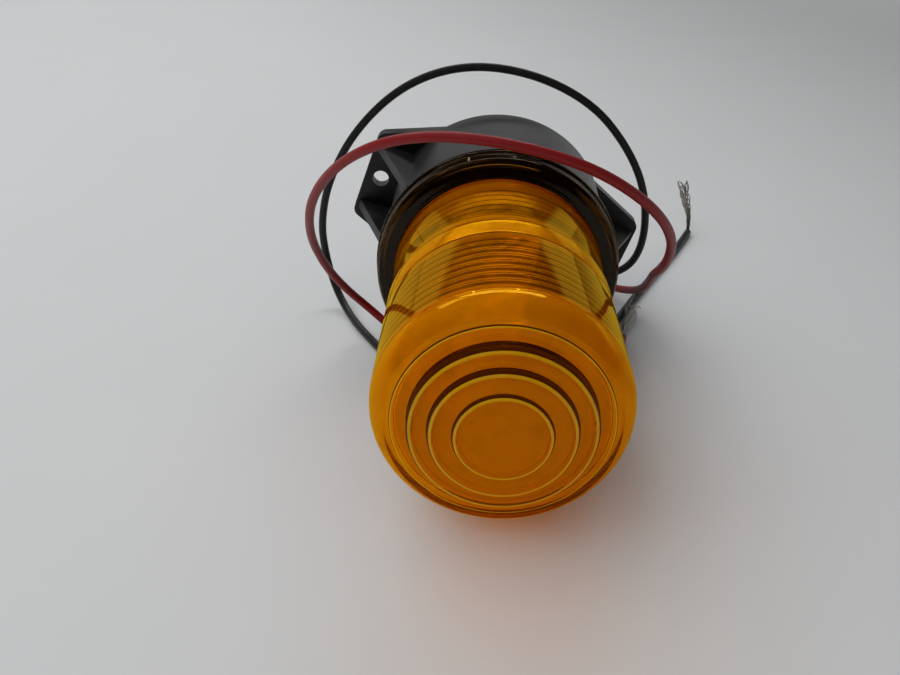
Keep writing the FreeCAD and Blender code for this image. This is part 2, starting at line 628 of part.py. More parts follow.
def glass_profile(shrink):
    """Half outline of the bulb's glass, drawn inwards by shrink, as edges that start and end on the axis."""
    neck_r, globe_r = GLASS_NECK_R - shrink, GLASS_R - shrink
    neck_bottom = CAP_TOP - GLASS_SEAT + shrink
    join = FOCUS_H - math.sqrt(globe_r ** 2 - neck_r ** 2)
    pole = FOCUS_H + globe_r
    return [
        Part.LineSegment(Vector(0, 0, pole), Vector(0, 0, neck_bottom)).toShape(),
        Part.LineSegment(Vector(0, 0, neck_bottom), Vector(neck_r, 0, neck_bottom)).toShape(),
        Part.LineSegment(Vector(neck_r, 0, neck_bottom), Vector(neck_r, 0, join)).toShape(),
        Part.Arc(Vector(neck_r, 0, join), Vector(globe_r, 0, FOCUS_H), Vector(0, 0, pole)).toShape(),
    ]


def bulb_glass():
    """The round glass envelope, sealed at its neck."""
    return revolved(glass_profile(0)).cut(revolved(glass_profile(GLASS_WALL)))


def bulb_filament():
    """The filament coil across the axis on its two support wires."""
    bottom = CAP_TOP - GLASS_SEAT + GLASS_WALL
    coil = Part.makeCylinder(FILAMENT_R, FILAMENT_L, Vector(0, -FILAMENT_L / 2, FOCUS_H), Vector(0, 1, 0))
    for side in (1, -1):
        coil = coil.fuse(cylinder(SUPPORT_R, bottom, FOCUS_H, 0, side * (FILAMENT_L / 2 - 2 * SUPPORT_R)))
    return coil


# ---- Rotor ----

def rotor_bush():
    """The sintered bush on which the gear turns round the lamp holder."""
    return ring(BUSH_BORE_R, BUSH_R, GEAR_H, GEAR_H + BUSH_L)


def reflector_carrier():
    """The bent steel strap: a ring foot on the gear's hub and an upright behind the reflector."""
    foot = cylinder(HUB_R, HUB_TOP, CARRIER_TOP)
    arm = block(CARRIER_X - CARRIER_T, 0, -CARRIER_W / 2, CARRIER_W / 2, HUB_TOP, CARRIER_TOP)
    upright = block(CARRIER_X - CARRIER_T, CARRIER_X, -CARRIER_W / 2, CARRIER_W / 2, HUB_TOP, FOCUS_H + CARRIER_UP)
    corners = [e for e in upright.Edges
               if abs(e.CenterOfMass.z - FOCUS_H - CARRIER_UP) < 0.01 and abs(e.CenterOfMass.y) > CARRIER_W / 2 - 0.01]
    upright = upright.makeFillet(CARRIER_W * 0.3, corners)
    strap = foot.fuse(arm).fuse(upright)
    strap = strap.cut(cylinder(BUSH_R + LOOSE / 2, HUB_TOP - 1, CARRIER_TOP + 1))
    for side in (1, -1):
        strap = strap.cut(cylinder(CARRIER_SCREW_R + LOOSE / 4, HUB_TOP - 1, CARRIER_TOP + 1,
                                   0, side * CARRIER_SCREW_CIRCLE_R))
    rivet_hole = Part.makeCylinder(RIVET_R + SEATED, 4 * CARRIER_T, Vector(CARRIER_X - 2 * CARRIER_T, 0, FOCUS_H),
                                   Vector(1, 0, 0))
    return strap.cut(rivet_hole).removeSplitter()


def carrier_screws():
    """The two small screws that hold the carrier on the gear."""
    return group([screw(CARRIER_SCREW_R, CARRIER_SCREW_L, CARRIER_HEAD_R, CARRIER_HEAD_H,
                        0, side * CARRIER_SCREW_CIRCLE_R, CARRIER_TOP) for side in (1, -1)])


def paraboloid(grow):
    """A solid paraboloid about the line of the beam, with its vertex behind the lamp, grown outwards."""
    depth = DISH_R ** 2 / (4 * FOCAL)
    mouth = DISH_R + grow
    curve = Part.BezierCurve()
    curve.setPoles([Vector(-FOCAL - grow, 0, 0), Vector(-FOCAL - grow, 0, mouth / 2), Vector(depth - FOCAL, 0, mouth)])
    edges = [
        curve.toShape(),
        Part.LineSegment(Vector(depth - FOCAL, 0, mouth), Vector(depth - FOCAL, 0, 0)).toShape(),
        Part.LineSegment(Vector(depth - FOCAL, 0, 0), Vector(-FOCAL - grow, 0, 0)).toShape(),
    ]
    solid = Part.Face(Part.Wire(edges)).revolve(Vector(0, 0, 0), Vector(1, 0, 0), 360)
    solid.translate(Vector(0, 0, FOCUS_H))
    return solid


def reflector():
    """The parabolic reflector, cut out below for the lamp and trimmed clear of the carrier's foot."""
    dish = paraboloid(DISH_T).cut(paraboloid(0))
    dish = dish.cut(cylinder(CLIP_R + NOTCH_CLEAR, 0, CAP_TOP))
    low = CARRIER_TOP + CARRIER_HEAD_H + LOOSE
    dish = dish.cut(block(-2 * DISH_R, 2 * DISH_R, -2 * DISH_R, 2 * DISH_R, 0, low))
    hole = Part.makeCylinder(RIVET_R + SEATED, 4 * DISH_T, Vector(CARRIER_X - DISH_T, 0, FOCUS_H), Vector(1, 0, 0))
    return dish.cut(hole)


def reflector_rivet():
    """The rivet that joins the reflector to its carrier."""
    back = CARRIER_X - CARRIER_T
    front = -FOCAL
    shank = Part.makeCylinder(RIVET_R, front - back + 2 * RIVET_HEAD_T, Vector(back - RIVET_HEAD_T, 0, FOCUS_H),
                              Vector(1, 0, 0))
    rear = Part.makeCylinder(RIVET_HEAD_R, RIVET_HEAD_T, Vector(back - RIVET_HEAD_T, 0, FOCUS_H), Vector(1, 0, 0))
    sag = RIVET_HEAD_R ** 2 / (4 * FOCAL)
    head = Part.makeCylinder(RIVET_HEAD_R, RIVET_HEAD_T, Vector(front + sag, 0, FOCUS_H), Vector(1, 0, 0))
    return shank.fuse(rear).fuse(head)


# ---- Lens ----

def crown(shrink):
    """(radius, height) points of the stepped crown from its rim to the axis, drawn inwards by shrink."""
    points = [(RIM_R - shrink, RIM_H - shrink)]
    radius, height = RIM_R, RIM_H
    for crest, rise in STEPS:
        foot = crest + min(STEP_RUN, rise)
        height -= (radius - foot) * LAND_DISH
        points.append((foot - shrink * 0.4, height - shrink))
        height += rise
        points.append((crest - shrink * 0.4, height - shrink))
        radius = crest
    points.append((0, height - shrink))
    return points


def prisms(radius, top, bottom, pitch, depth):
    """(radius, height) points of as many annular prisms as a bore has room for, from the top one down."""
    points = []
    for k in range(int((top - bottom) / pitch)):
        crest = top - k * pitch
        points += [(radius - depth, crest - pitch * 0.25), (radius, crest - pitch)]
    return points


def lens():
    """The amber jar lens: skirt, shoulder, neck, plain band, ribbed body and stepped crown in one moulding."""
    skirt_bore = SKIRT_R - SKIRT_WALL
    skirt_side = SKIRT_R - SKIRT_BEAD
    neck_top_r = NECK_R - NECK_DRAFT
    band_top = BAND_H + BAND_T
    outside = [(SKIRT_R, SKIRT_BOTTOM + 1.4), (skirt_side, SKIRT_BOTTOM + 1.4 + SKIRT_BEAD),
               (skirt_side, SHOULDER_TOP - 2.4), (skirt_side - 0.8, SHOULDER_TOP - 0.9),
               (skirt_side - 2.4, SHOULDER_TOP - 0.3), (NECK_R, SHOULDER_TOP),
               (neck_top_r, BAND_H), (BAND_R - 0.4, BAND_H + 0.6), (BAND_R, BAND_H + 1.8), (BAND_R, band_top - 0.6),
               (BAND_R - GROOVE, band_top), (BODY_R, band_top + 0.7), (BODY_TOP_R, BODY_TOP_H)]
    curve_mid = ((BODY_TOP_R + RIM_R) / 2 + 1.15, (BODY_TOP_H + RIM_H) / 2 + 1.1)
    inner_mid = (curve_mid[0] - LENS_WALL * 0.8, curve_mid[1] - LENS_WALL * 0.6)
    outer_crown = crown(0)
    inner_crown = crown(LENS_WALL)
    bore_top = (BODY_TOP_R - LENS_WALL, BODY_TOP_H - LENS_WALL * 0.3)
    inside = prisms(BODY_R - LENS_WALL, bore_top[1] - PRISM_EDGE, band_top, PRISM_PITCH, PRISM_DEPTH)
    inside += [(BAND_R - LENS_WALL, BAND_H + 1.2), (neck_top_r - LENS_WALL, BAND_H)]
    inside += prisms(neck_top_r - LENS_WALL, BAND_H - PRISM_EDGE, SHOULDER_TOP, NECK_PRISM_PITCH, NECK_PRISM_DEPTH)
    inside += [(NECK_R - LENS_WALL, SHOULDER_TOP), (NECK_R - LENS_WALL, GASKET_TOP), (skirt_bore, GASKET_TOP),
               (skirt_bore, SKIRT_BOTTOM), (SKIRT_R, SKIRT_BOTTOM)]

    def at(point):
        return Vector(point[0], 0, point[1])

    def straight(points):
        return [Part.LineSegment(at(a), at(b)).toShape() for a, b in zip(points, points[1:])]

    edges = straight(outside)
    edges.append(Part.Arc(at(outside[-1]), at(curve_mid), at(outer_crown[0])).toShape())
    edges += straight(outer_crown)
    edges += straight([outer_crown[-1], inner_crown[-1]])
    edges += straight(inner_crown[::-1])
    edges.append(Part.Arc(at(inner_crown[0]), at(inner_mid), at(bore_top)).toShape())
    edges += straight([bore_top] + inside + [outside[0]])
    return revolved(edges)


def lens_gasket():
    """The rubber ring between the collar's top and the lens's shoulder."""
    outer = COLLAR_R - 0.6
    return ring(outer - GASKET_W, outer, COLLAR_TOP, GASKET_TOP)


# ---- Leads and wiring ----

def lead(side, route):
    """One lead from the grommet's mouth along its route, already in its lying place."""
    start = lie_point(side * LEAD_PITCH / 2, 0, 0)
    return tube_along((start,) + route, LEAD_R)


def strand_bundle(end, inward, tips):
    """Bared copper strands, bent out of a lead's end towards their tips, already in their lying place."""
    bundle = []
    run = Vector(*end) - Vector(*inward)
    run.normalize()
    across = run.cross(Vector(0, 0, 1))
    across.normalize()
    rise = across.cross(run)
    for k, tip in enumerate(tips):
        angle = 2 * math.pi * k / len(tips)
        root = Vector(*end) + across * (0.6 * math.cos(angle)) + rise * (0.6 * math.sin(angle))
        knee = root + run * 4.0
        mid = (knee + Vector(*tip)) * 0.5 + across * (1.2 * math.sin(angle + 1.0)) + rise * 0.8
        bundle.append(tube_along([tuple(root), tuple(knee), tuple(mid), tip], STRAND_R)[0])
    return group(bundle)


def inner_wire(points):
    """A short wire inside the base."""
    return tube_along(points, INNER_WIRE_R)[0]


def inner_wires():
    """The wires between the grommet, the motor, the lamp and the chassis, by sub-part name."""
    top = BASE_FLOOR + GROMMET_FLANGE_T
    half = LEAD_PITCH / 2
    tab = END_CAP_BOTTOM - TERMINAL_L * 0.5
    touch = TERMINAL_Y + TERMINAL_T / 2 + INNER_WIRE_R
    return {
        "motor_feed_wire": inner_wire([(half, 0, top), (half, 0.2, top + 3), (half + 3, 3.0, top + 5),
                                       (MOTOR_X - 6, touch, tab + 0.2), (MOTOR_X + TERMINAL_W / 2, touch, tab)]),
        "motor_return_wire": inner_wire([(-half, 0, top), (-half, -0.2, top + 3), (half, -5.0, top + 4.5),
                                         (MOTOR_X - 6, -touch, tab + 0.2), (MOTOR_X + TERMINAL_W / 2, -touch, tab)]),
        "lamp_feed_wire": inner_wire([(half, 2.4, top), (half, 2.4, top + WIRE_RISE), (-0.5, 4.5, top + WIRE_BEND),
                                      (-1.0, 2.0, CHASSIS_H - WIRE_TURN), (0, 0, CHASSIS_H - 2),
                                      (0, 0, SPRING_BOTTOM + SPRING_H * 0.5)]),
        "earth_wire": inner_wire([(-half, -2.4, top), (-half, -2.4, top + WIRE_RISE), (-10, -5, top + WIRE_BEND),
                                  (TAG_X, TAG_Y, CHASSIS_H - 8), (TAG_X, TAG_Y, CHASSIS_H - TAG_T)]),
    }


def earth_tag():
    """The solder tag riveted under the chassis plate."""
    return cylinder(TAG_R, CHASSIS_H - TAG_T, CHASSIS_H, TAG_X, TAG_Y)


UPRIGHT = {
    "base_housing": base_housing,
    "lead_grommet": lead_grommet,
    "chassis_plate": chassis_plate,
    "chassis_screws": chassis_screws,
    "motor_can": motor_can,
    "motor_screws": motor_screws,
    "motor_end_cap": motor_end_cap,
    "motor_terminals": motor_terminals,
    "suppressor_capacitor": suppressor_capacitor,
    "motor_shaft": motor_shaft,
    "pinion": pinion,
    "drive_gear": drive_gear,
    "rotor_bush": rotor_bush,
    "thrust_washer": thrust_washer,
    "retaining_clip": retaining_clip,
    "lamp_holder": lamp_holder,
    "contact_insulator": contact_insulator,
    "contact_plunger": contact_plunger,
    "contact_spring": contact_spring,
    "bulb_cap": bulb_cap,
    "bulb_insulator": bulb_insulator,
    "bulb_contact": bulb_contact,
    "bulb_glass": bulb_glass,
    "bulb_filament": bulb_filament,
    "reflector_carrier": reflector_carrier,
    "carrier_screws": carrier_screws,
    "reflector": reflector,
    "reflector_rivet": reflector_rivet,
    "lens": lens,
    "lens_gasket": lens_gasket,
    "earth_tag": earth_tag,
}

def export(name, shape):
    """Writes one sub-part."""
    if not shape.isValid():
        print(name, "is not valid")
    shape.exportStep(f"parts/{name}.step")
    print(f"{name}: {len(shape.Solids)} solid(s), {shape.Volume:.1f} mm3")


def main():
    """Builds every sub-part and writes it to the parts folder."""
    os.makedirs("parts", exist_ok=True)
    for name, make in UPRIGHT.items():
        export(name, lay_down(make()))
    for name, wire in inner_wires().items():
        export(name, lay_down(wire))
    for name, side, route in (("black_lead", -1, BLACK_ROUTE), ("red_lead", 1, RED_ROUTE)):
        solid, path, radii = lead(side, route)
        export(name, solid)
        expected = math.pi * LEAD_R ** 2 * path.Length
        print(f"  {path.Length:.0f} mm long, volume {solid.Volume / expected:.4f} of section times length, radii",
              " ".join(f"{r:.0f}" for r in radii))
    export("black_lead_strands", strand_bundle(BLACK_ROUTE[-1], BLACK_ROUTE[-2], BLACK_TIPS))
    export("red_lead_strands", strand_bundle(RED_ROUTE[-1], RED_ROUTE[-2], RED_TIPS))


main()
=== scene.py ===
"""Looks of a flange-mounted rotating beacon: its finishes, amber lens, leads, small details and studio.

Sizes in the classes are in millimetres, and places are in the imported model's frame: X right, Y from the lens
towards the mounting face, Z up, with the origin in the middle of the mounting face. Meshes are in metres.
"""

import logging
import math
from dataclasses import dataclass
from enum import Enum
from typing import Any

import bmesh
import bpy
from mathutils import Matrix, Vector


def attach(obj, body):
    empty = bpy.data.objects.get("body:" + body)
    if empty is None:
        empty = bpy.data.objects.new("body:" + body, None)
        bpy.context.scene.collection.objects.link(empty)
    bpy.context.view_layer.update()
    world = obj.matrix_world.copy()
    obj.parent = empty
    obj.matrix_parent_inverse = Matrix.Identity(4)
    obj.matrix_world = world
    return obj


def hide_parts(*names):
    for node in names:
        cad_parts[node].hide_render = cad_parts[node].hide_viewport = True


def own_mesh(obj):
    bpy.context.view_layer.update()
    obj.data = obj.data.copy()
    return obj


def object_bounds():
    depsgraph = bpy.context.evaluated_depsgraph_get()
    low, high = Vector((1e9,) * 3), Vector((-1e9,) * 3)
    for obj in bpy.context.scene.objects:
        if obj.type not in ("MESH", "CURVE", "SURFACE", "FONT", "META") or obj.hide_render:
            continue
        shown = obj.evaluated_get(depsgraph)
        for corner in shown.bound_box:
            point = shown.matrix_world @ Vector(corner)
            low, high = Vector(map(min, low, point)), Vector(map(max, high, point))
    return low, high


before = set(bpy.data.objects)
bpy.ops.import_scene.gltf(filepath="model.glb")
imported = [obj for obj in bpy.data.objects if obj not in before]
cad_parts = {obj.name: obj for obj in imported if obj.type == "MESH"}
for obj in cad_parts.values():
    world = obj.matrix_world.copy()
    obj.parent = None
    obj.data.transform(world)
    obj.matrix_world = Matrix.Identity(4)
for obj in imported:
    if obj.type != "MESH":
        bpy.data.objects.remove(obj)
cad_low, cad_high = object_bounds()

log = logging.getLogger("beacon")

MM = 0.001

MIX_COLOURS = (6, 7)        # the Mix node's two colour inputs
MIX_RESULT = 2              # its colour output

Colour = tuple[float, float, float]
Outline = list[tuple[float, float]]
Point = tuple[float, float, float]
Socket = bpy.types.NodeSocket
Span = tuple[float, float]


class Body(Enum):
    """The bodies that the pieces made here ride on."""

    BASE = "base"
    LENS = "lens"


# ---- Node trees ----

class Graph:
    """A node tree that grows through one method."""

    def __init__(self, tree: bpy.types.NodeTree) -> None:
        """Takes a node tree over and empties it."""
        self.tree = tree
        tree.nodes.clear()

    def node(self, kind: str, settings: dict[str, Any] | None = None,
             inputs: dict[str | int, Any] | None = None) -> bpy.types.Node:
        """Adds a node.

        Args:
            kind: The node's type.
            settings: Its properties, set first. A ramp's stops come under "stops".
            inputs: Values or links of its sockets, by name or number.

        Returns:
            The new node.
        """
        node = self.tree.nodes.new(kind)
        for name, value in (settings or {}).items():
            if name == "stops":
                self._set_stops(node.color_ramp, value)
            else:
                setattr(node, name, value)
        for key, value in (inputs or {}).items():
            self.feed(node.inputs[key], value)
        return node

    def feed(self, socket: Socket, value: Any) -> None:
        """Links a socket to another socket or expression, or sets its value."""
        source = getattr(value, "socket", value)
        if isinstance(source, Socket):
            self.tree.links.new(source, socket)
        else:
            socket.default_value = source

    @staticmethod
    def _set_stops(ramp: bpy.types.ColorRamp, stops: list[tuple[float, Colour]]) -> None:
        """Gives a ramp its stops, each a place from 0 to 1 and a colour."""
        while len(ramp.elements) < len(stops):
            ramp.elements.new(1.0)
        for element, (place, colour) in zip(ramp.elements, stops):
            element.position = place
            element.color = (*colour, 1.0)


class Number:
    """A number that varies over a surface or along a curve, with arithmetic that adds Math nodes."""

    def __init__(self, graph: Graph, socket: Socket) -> None:
        """Wraps an output socket of a graph."""
        self.graph = graph
        self.socket = socket

    def math(self, operation: str, *values: Any) -> "Number":
        """The result of a Math node.

        Args:
            operation: The Math node's operation.
            values: Its inputs, in order.

        Returns:
            The node's output.
        """
        node = self.graph.node("ShaderNodeMath", {"operation": operation}, dict(enumerate(values)))
        return Number(self.graph, node.outputs[0])

    def __add__(self, other: Any) -> "Number":
        """Sum."""
        return self.math("ADD", self, other)

    __radd__ = __add__

    def __sub__(self, other: Any) -> "Number":
        """Difference."""
        return self.math("SUBTRACT", self, other)

    def __rsub__(self, other: Any) -> "Number":
        """Difference the other way round."""
        return self.math("SUBTRACT", other, self)

    def __mul__(self, other: Any) -> "Number":
        """Product."""
        return self.math("MULTIPLY", self, other)

    __rmul__ = __mul__

    def __truediv__(self, other: Any) -> "Number":
        """Quotient."""
        return self.math("DIVIDE", self, other)

    def __pow__(self, other: Any) -> "Number":
        """Power."""
        return self.math("POWER", self, other)

    def sine(self) -> "Number":
        """Sine, in radians."""
        return self.math("SINE", self)

    def cosine(self) -> "Number":
        """Cosine, in radians."""
        return self.math("COSINE", self)

    def ease(self, low: float, high: float) -> "Number":
        """0 below low, 1 above high and a smooth step between them."""
        node = self.graph.node("ShaderNodeMapRange", {"interpolation_type": "SMOOTHSTEP"},
                               {"Value": self, "From Min": low, "From Max": high})
        return Number(self.graph, node.outputs["Result"])


class Arrow:
    """A vector in a node tree, with arithmetic that adds Vector Math nodes."""

    def __init__(self, graph: Graph, socket: Socket) -> None:
        """Wraps a vector output of a graph."""
        self.graph = graph
        self.socket = socket

    def math(self, operation: str, inputs: dict[str | int, Any]) -> "Arrow":
        """The result of a Vector Math node.

        Args:
            operation: The node's operation.
            inputs: Values or links of its sockets.

        Returns:
            The node's vector output.
        """
        node = self.graph.node("ShaderNodeVectorMath", {"operation": operation}, inputs)
        return Arrow(self.graph, node.outputs[0])

    def __add__(self, other: Any) -> "Arrow":
        """Sum."""
        return self.math("ADD", {0: self, 1: other})

    def __sub__(self, other: Any) -> "Arrow":
        """Difference."""
        return self.math("SUBTRACT", {0: self, 1: other})

    def __mul__(self, scale: Any) -> "Arrow":
        """The vector scaled by a number."""
        return self.math("SCALE", {0: self, "Scale": scale})

    def cross(self, other: Any) -> "Arrow":
        """Cross product."""
        return self.math("CROSS_PRODUCT", {0: self, 1: other})


class SurfaceGraph(Graph):
    """The node tree of a material or of the surroundings."""

    def place(self, stretch: Point = (1.0, 1.0, 1.0)) -> Arrow:
        """The point on the piece in metres, stretched along each axis."""
        coordinates = self.node("ShaderNodeTexCoord").outputs["Object"]
        node = self.node("ShaderNodeMapping", inputs={"Vector": coordinates, "Scale": stretch})
        return Arrow(self, node.outputs["Vector"])

    def noise(self, place: Arrow, size_mm: float, detail: float = 3.0) -> Number:
        """Noise from 0 to 1.

        Args:
            place: Where it is looked up.
            size_mm: The size of its blotches.
            detail: How many finer layers it has.

        Returns:
            The noise.
        """
        node = self.node("ShaderNodeTexNoise", inputs={"Vector": place, "Scale": 1.0 / (size_mm * MM),
                                                       "Detail": detail, "Roughness": 0.55})
        return Number(self, node.outputs[0])

    def blend(self, share: Any, first: Any, second: Any) -> Socket:
        """A colour between two others, as far along as share says."""
        node = self.node("ShaderNodeMix", {"data_type": "RGBA"})
        self.feed(node.inputs[0], share)
        for number, colour in zip(MIX_COLOURS, (first, second)):
            self.feed(node.inputs[number], (*colour, 1.0) if isinstance(colour, tuple) else colour)
        return node.outputs[MIX_RESULT]

    def bump(self, height: Any, depth_mm: float) -> Socket:
        """A normal raised by a height from 0 to 1, times a depth."""
        relief = {"Height": height, "Distance": depth_mm * MM, "Strength": 1.0}
        return self.node("ShaderNodeBump", inputs=relief).outputs["Normal"]

    def split(self, vector: Any) -> list[Number]:
        """The three parts of a vector."""
        parts = self.node("ShaderNodeSeparateXYZ", inputs={0: vector}).outputs
        return [Number(self, part) for part in parts]

    def principled(self, inputs: dict[str | int, Any]) -> Socket:
        """A Principled shader with these inputs."""
        return self.node("ShaderNodeBsdfPrincipled", inputs=inputs).outputs[0]

    def mix(self, share: Any, first: Socket, second: Socket) -> Socket:
        """A shader between two others, as far along as share says."""
        return self.node("ShaderNodeMixShader", inputs={0: share, 1: first, 2: second}).outputs[0]

    def tint_shadow(self, body: Socket, shade: Colour) -> Socket:
        """A shader that shadow rays meet as a clear tint."""
        clear = self.node("ShaderNodeBsdfTransparent", inputs={"Color": (*shade, 1.0)}).outputs[0]
        return self.mix(self.node("ShaderNodeLightPath").outputs["Is Shadow Ray"], body, clear)


# ---- Finishes ----

@dataclass(frozen=True)
class Finish:
    """A surface finish, whose material is made once."""

    name: str
    colour: Colour
    roughness: float

    def material(self) -> bpy.types.Material:
        """The finish's material."""
        title = self.name + "_finish"
        found = bpy.data.materials.get(title)
        if found is not None:
            return found
        made = bpy.data.materials.new(title)
        made.use_nodes = True
        graph = SurfaceGraph(made.node_tree)
        graph.node("ShaderNodeOutputMaterial", inputs={"Surface": self.surface(graph)})
        return made

    def surface(self, graph: SurfaceGraph) -> Socket:
        """The shader of the finish.

        Args:
            graph: The material's node tree.

        Returns:
            The shader's output.
        """
        raise NotImplementedError


@dataclass(frozen=True)
class Moulded(Finish):
    """Moulded plastic, rubber or fibre: a fine grain, faint clouds of colour and a few dull patches."""

    grain_mm: float = 0.35
    grain_depth_mm: float = 0.012
    lighter: float = 1.35
    coat: float = 0.0
    haze: float = 0.0
    shine: float = 0.5
    clouds_mm: float = 9.0
    clouds_span: Span = (0.35, 0.75)
    clouds_rough: float = 0.16
    grain_rough: float = 0.10
    coat_rough: float = 0.25
    haze_rough: float = 0.35

    def surface(self, graph: SurfaceGraph) -> Socket:
        """A grained, slightly uneven dielectric."""
        place = graph.place()
        clouds = graph.noise(place, self.clouds_mm)
        grain = graph.noise(place, self.grain_mm, 2.0)
        pale = tuple(min(1.0, c * self.lighter) for c in self.colour)
        colour = graph.blend(clouds.ease(*self.clouds_span), self.colour, pale)
        rough = (clouds - 0.5) * self.clouds_rough + (grain - 0.5) * self.grain_rough + self.roughness
        return graph.principled({
            "Base Color": colour, "Roughness": rough, "Normal": graph.bump(grain, self.grain_depth_mm),
            "Coat Weight": self.coat, "Coat Roughness": self.coat_rough, "Sheen Weight": self.haze,
            "Sheen Roughness": self.haze_rough, "Specular IOR Level": self.shine})


@dataclass(frozen=True)
class Metal(Finish):
    """Bare or plated metal with faint drawing lines along one axis."""

    lines: Point = (1.0, 1.0, 1.0)
    lines_depth_mm: float = 0.004
    tarnish: Colour = (0.30, 0.28, 0.25)
    tarnish_span: Span = (0.5, 0.9)
    tarnish_share: float = 0.5
    streaks_mm: float = 0.5
    streaks_rough: float = 0.2
    clouds_mm: float = 4.0
    clouds_rough: float = 0.1

    def surface(self, graph: SurfaceGraph) -> Socket:
        """A metal with streaks in its roughness and a little tarnish."""
        streaks = graph.noise(graph.place(self.lines), self.streaks_mm, 2.0)
        clouds = graph.noise(graph.place(), self.clouds_mm)
        colour = graph.blend(clouds.ease(*self.tarnish_span) * self.tarnish_share, self.colour, self.tarnish)
        rough = (streaks - 0.5) * self.streaks_rough + (clouds - 0.5) * self.clouds_rough + self.roughness
        return graph.principled({
            "Base Color": colour, "Roughness": rough, "Metallic": 1.0,
            "Normal": graph.bump(streaks, self.lines_depth_mm)})


@dataclass(frozen=True)
class ClearPlastic(Finish):
    """Transparent coloured moulding or glass, which lets tinted light through to what is inside."""

    ior: float = 1.5
    scuff: float = 0.06
    ripple_mm: float = 0.02
    glint: Colour = (1.0, 1.0, 1.0)
    glint_share: float = 0.0
    ring_pitch_mm: float = 0.0
    ring_depth_mm: float = 0.10
    shade: Colour = (1.0, 1.0, 1.0)
    scuffs_stretch: Point = (1.0, 0.35, 1.0)
    scuffs_mm: float = 1.6
    scuffs_span: Span = (0.55, 0.85)
    flow_mm: float = 7.0
    deepest: float = 0.93

    def surface(self, graph: SurfaceGraph) -> Socket:
        """A transmitting dielectric with faint scuffs and flow ripples, tinted glints and a tinted shadow."""
        place = graph.place()
        scuffs = graph.noise(graph.place(self.scuffs_stretch), self.scuffs_mm, 6.0).ease(*self.scuffs_span)
        flow = graph.noise(place, self.flow_mm, 2.0)
        deeper = tuple(c * self.deepest for c in self.colour)
        relief = flow * self.ripple_mm
        if self.ring_pitch_mm:
            across, along, up = graph.split(place)
            reach = (across * across + up * up) ** 0.5 - along
            rings = (reach * (math.tau / (self.ring_pitch_mm * MM))).sine()
            relief = relief + rings * (self.ring_depth_mm / 2)
        ripples = graph.bump(relief, 1.0)
        plain = graph.principled({
            "Base Color": graph.blend(flow, self.colour, deeper),
            "Roughness": scuffs * self.scuff + self.roughness,
            "IOR": self.ior, "Transmission Weight": 1.0, "Normal": ripples})
        tinted = graph.node("ShaderNodeBsdfGlass", inputs={
            "Color": (*self.glint, 1.0), "Roughness": self.roughness, "IOR": self.ior, "Normal": ripples})
        return graph.tint_shadow(graph.mix(self.glint_share, plain, tinted.outputs[0]), self.shade)


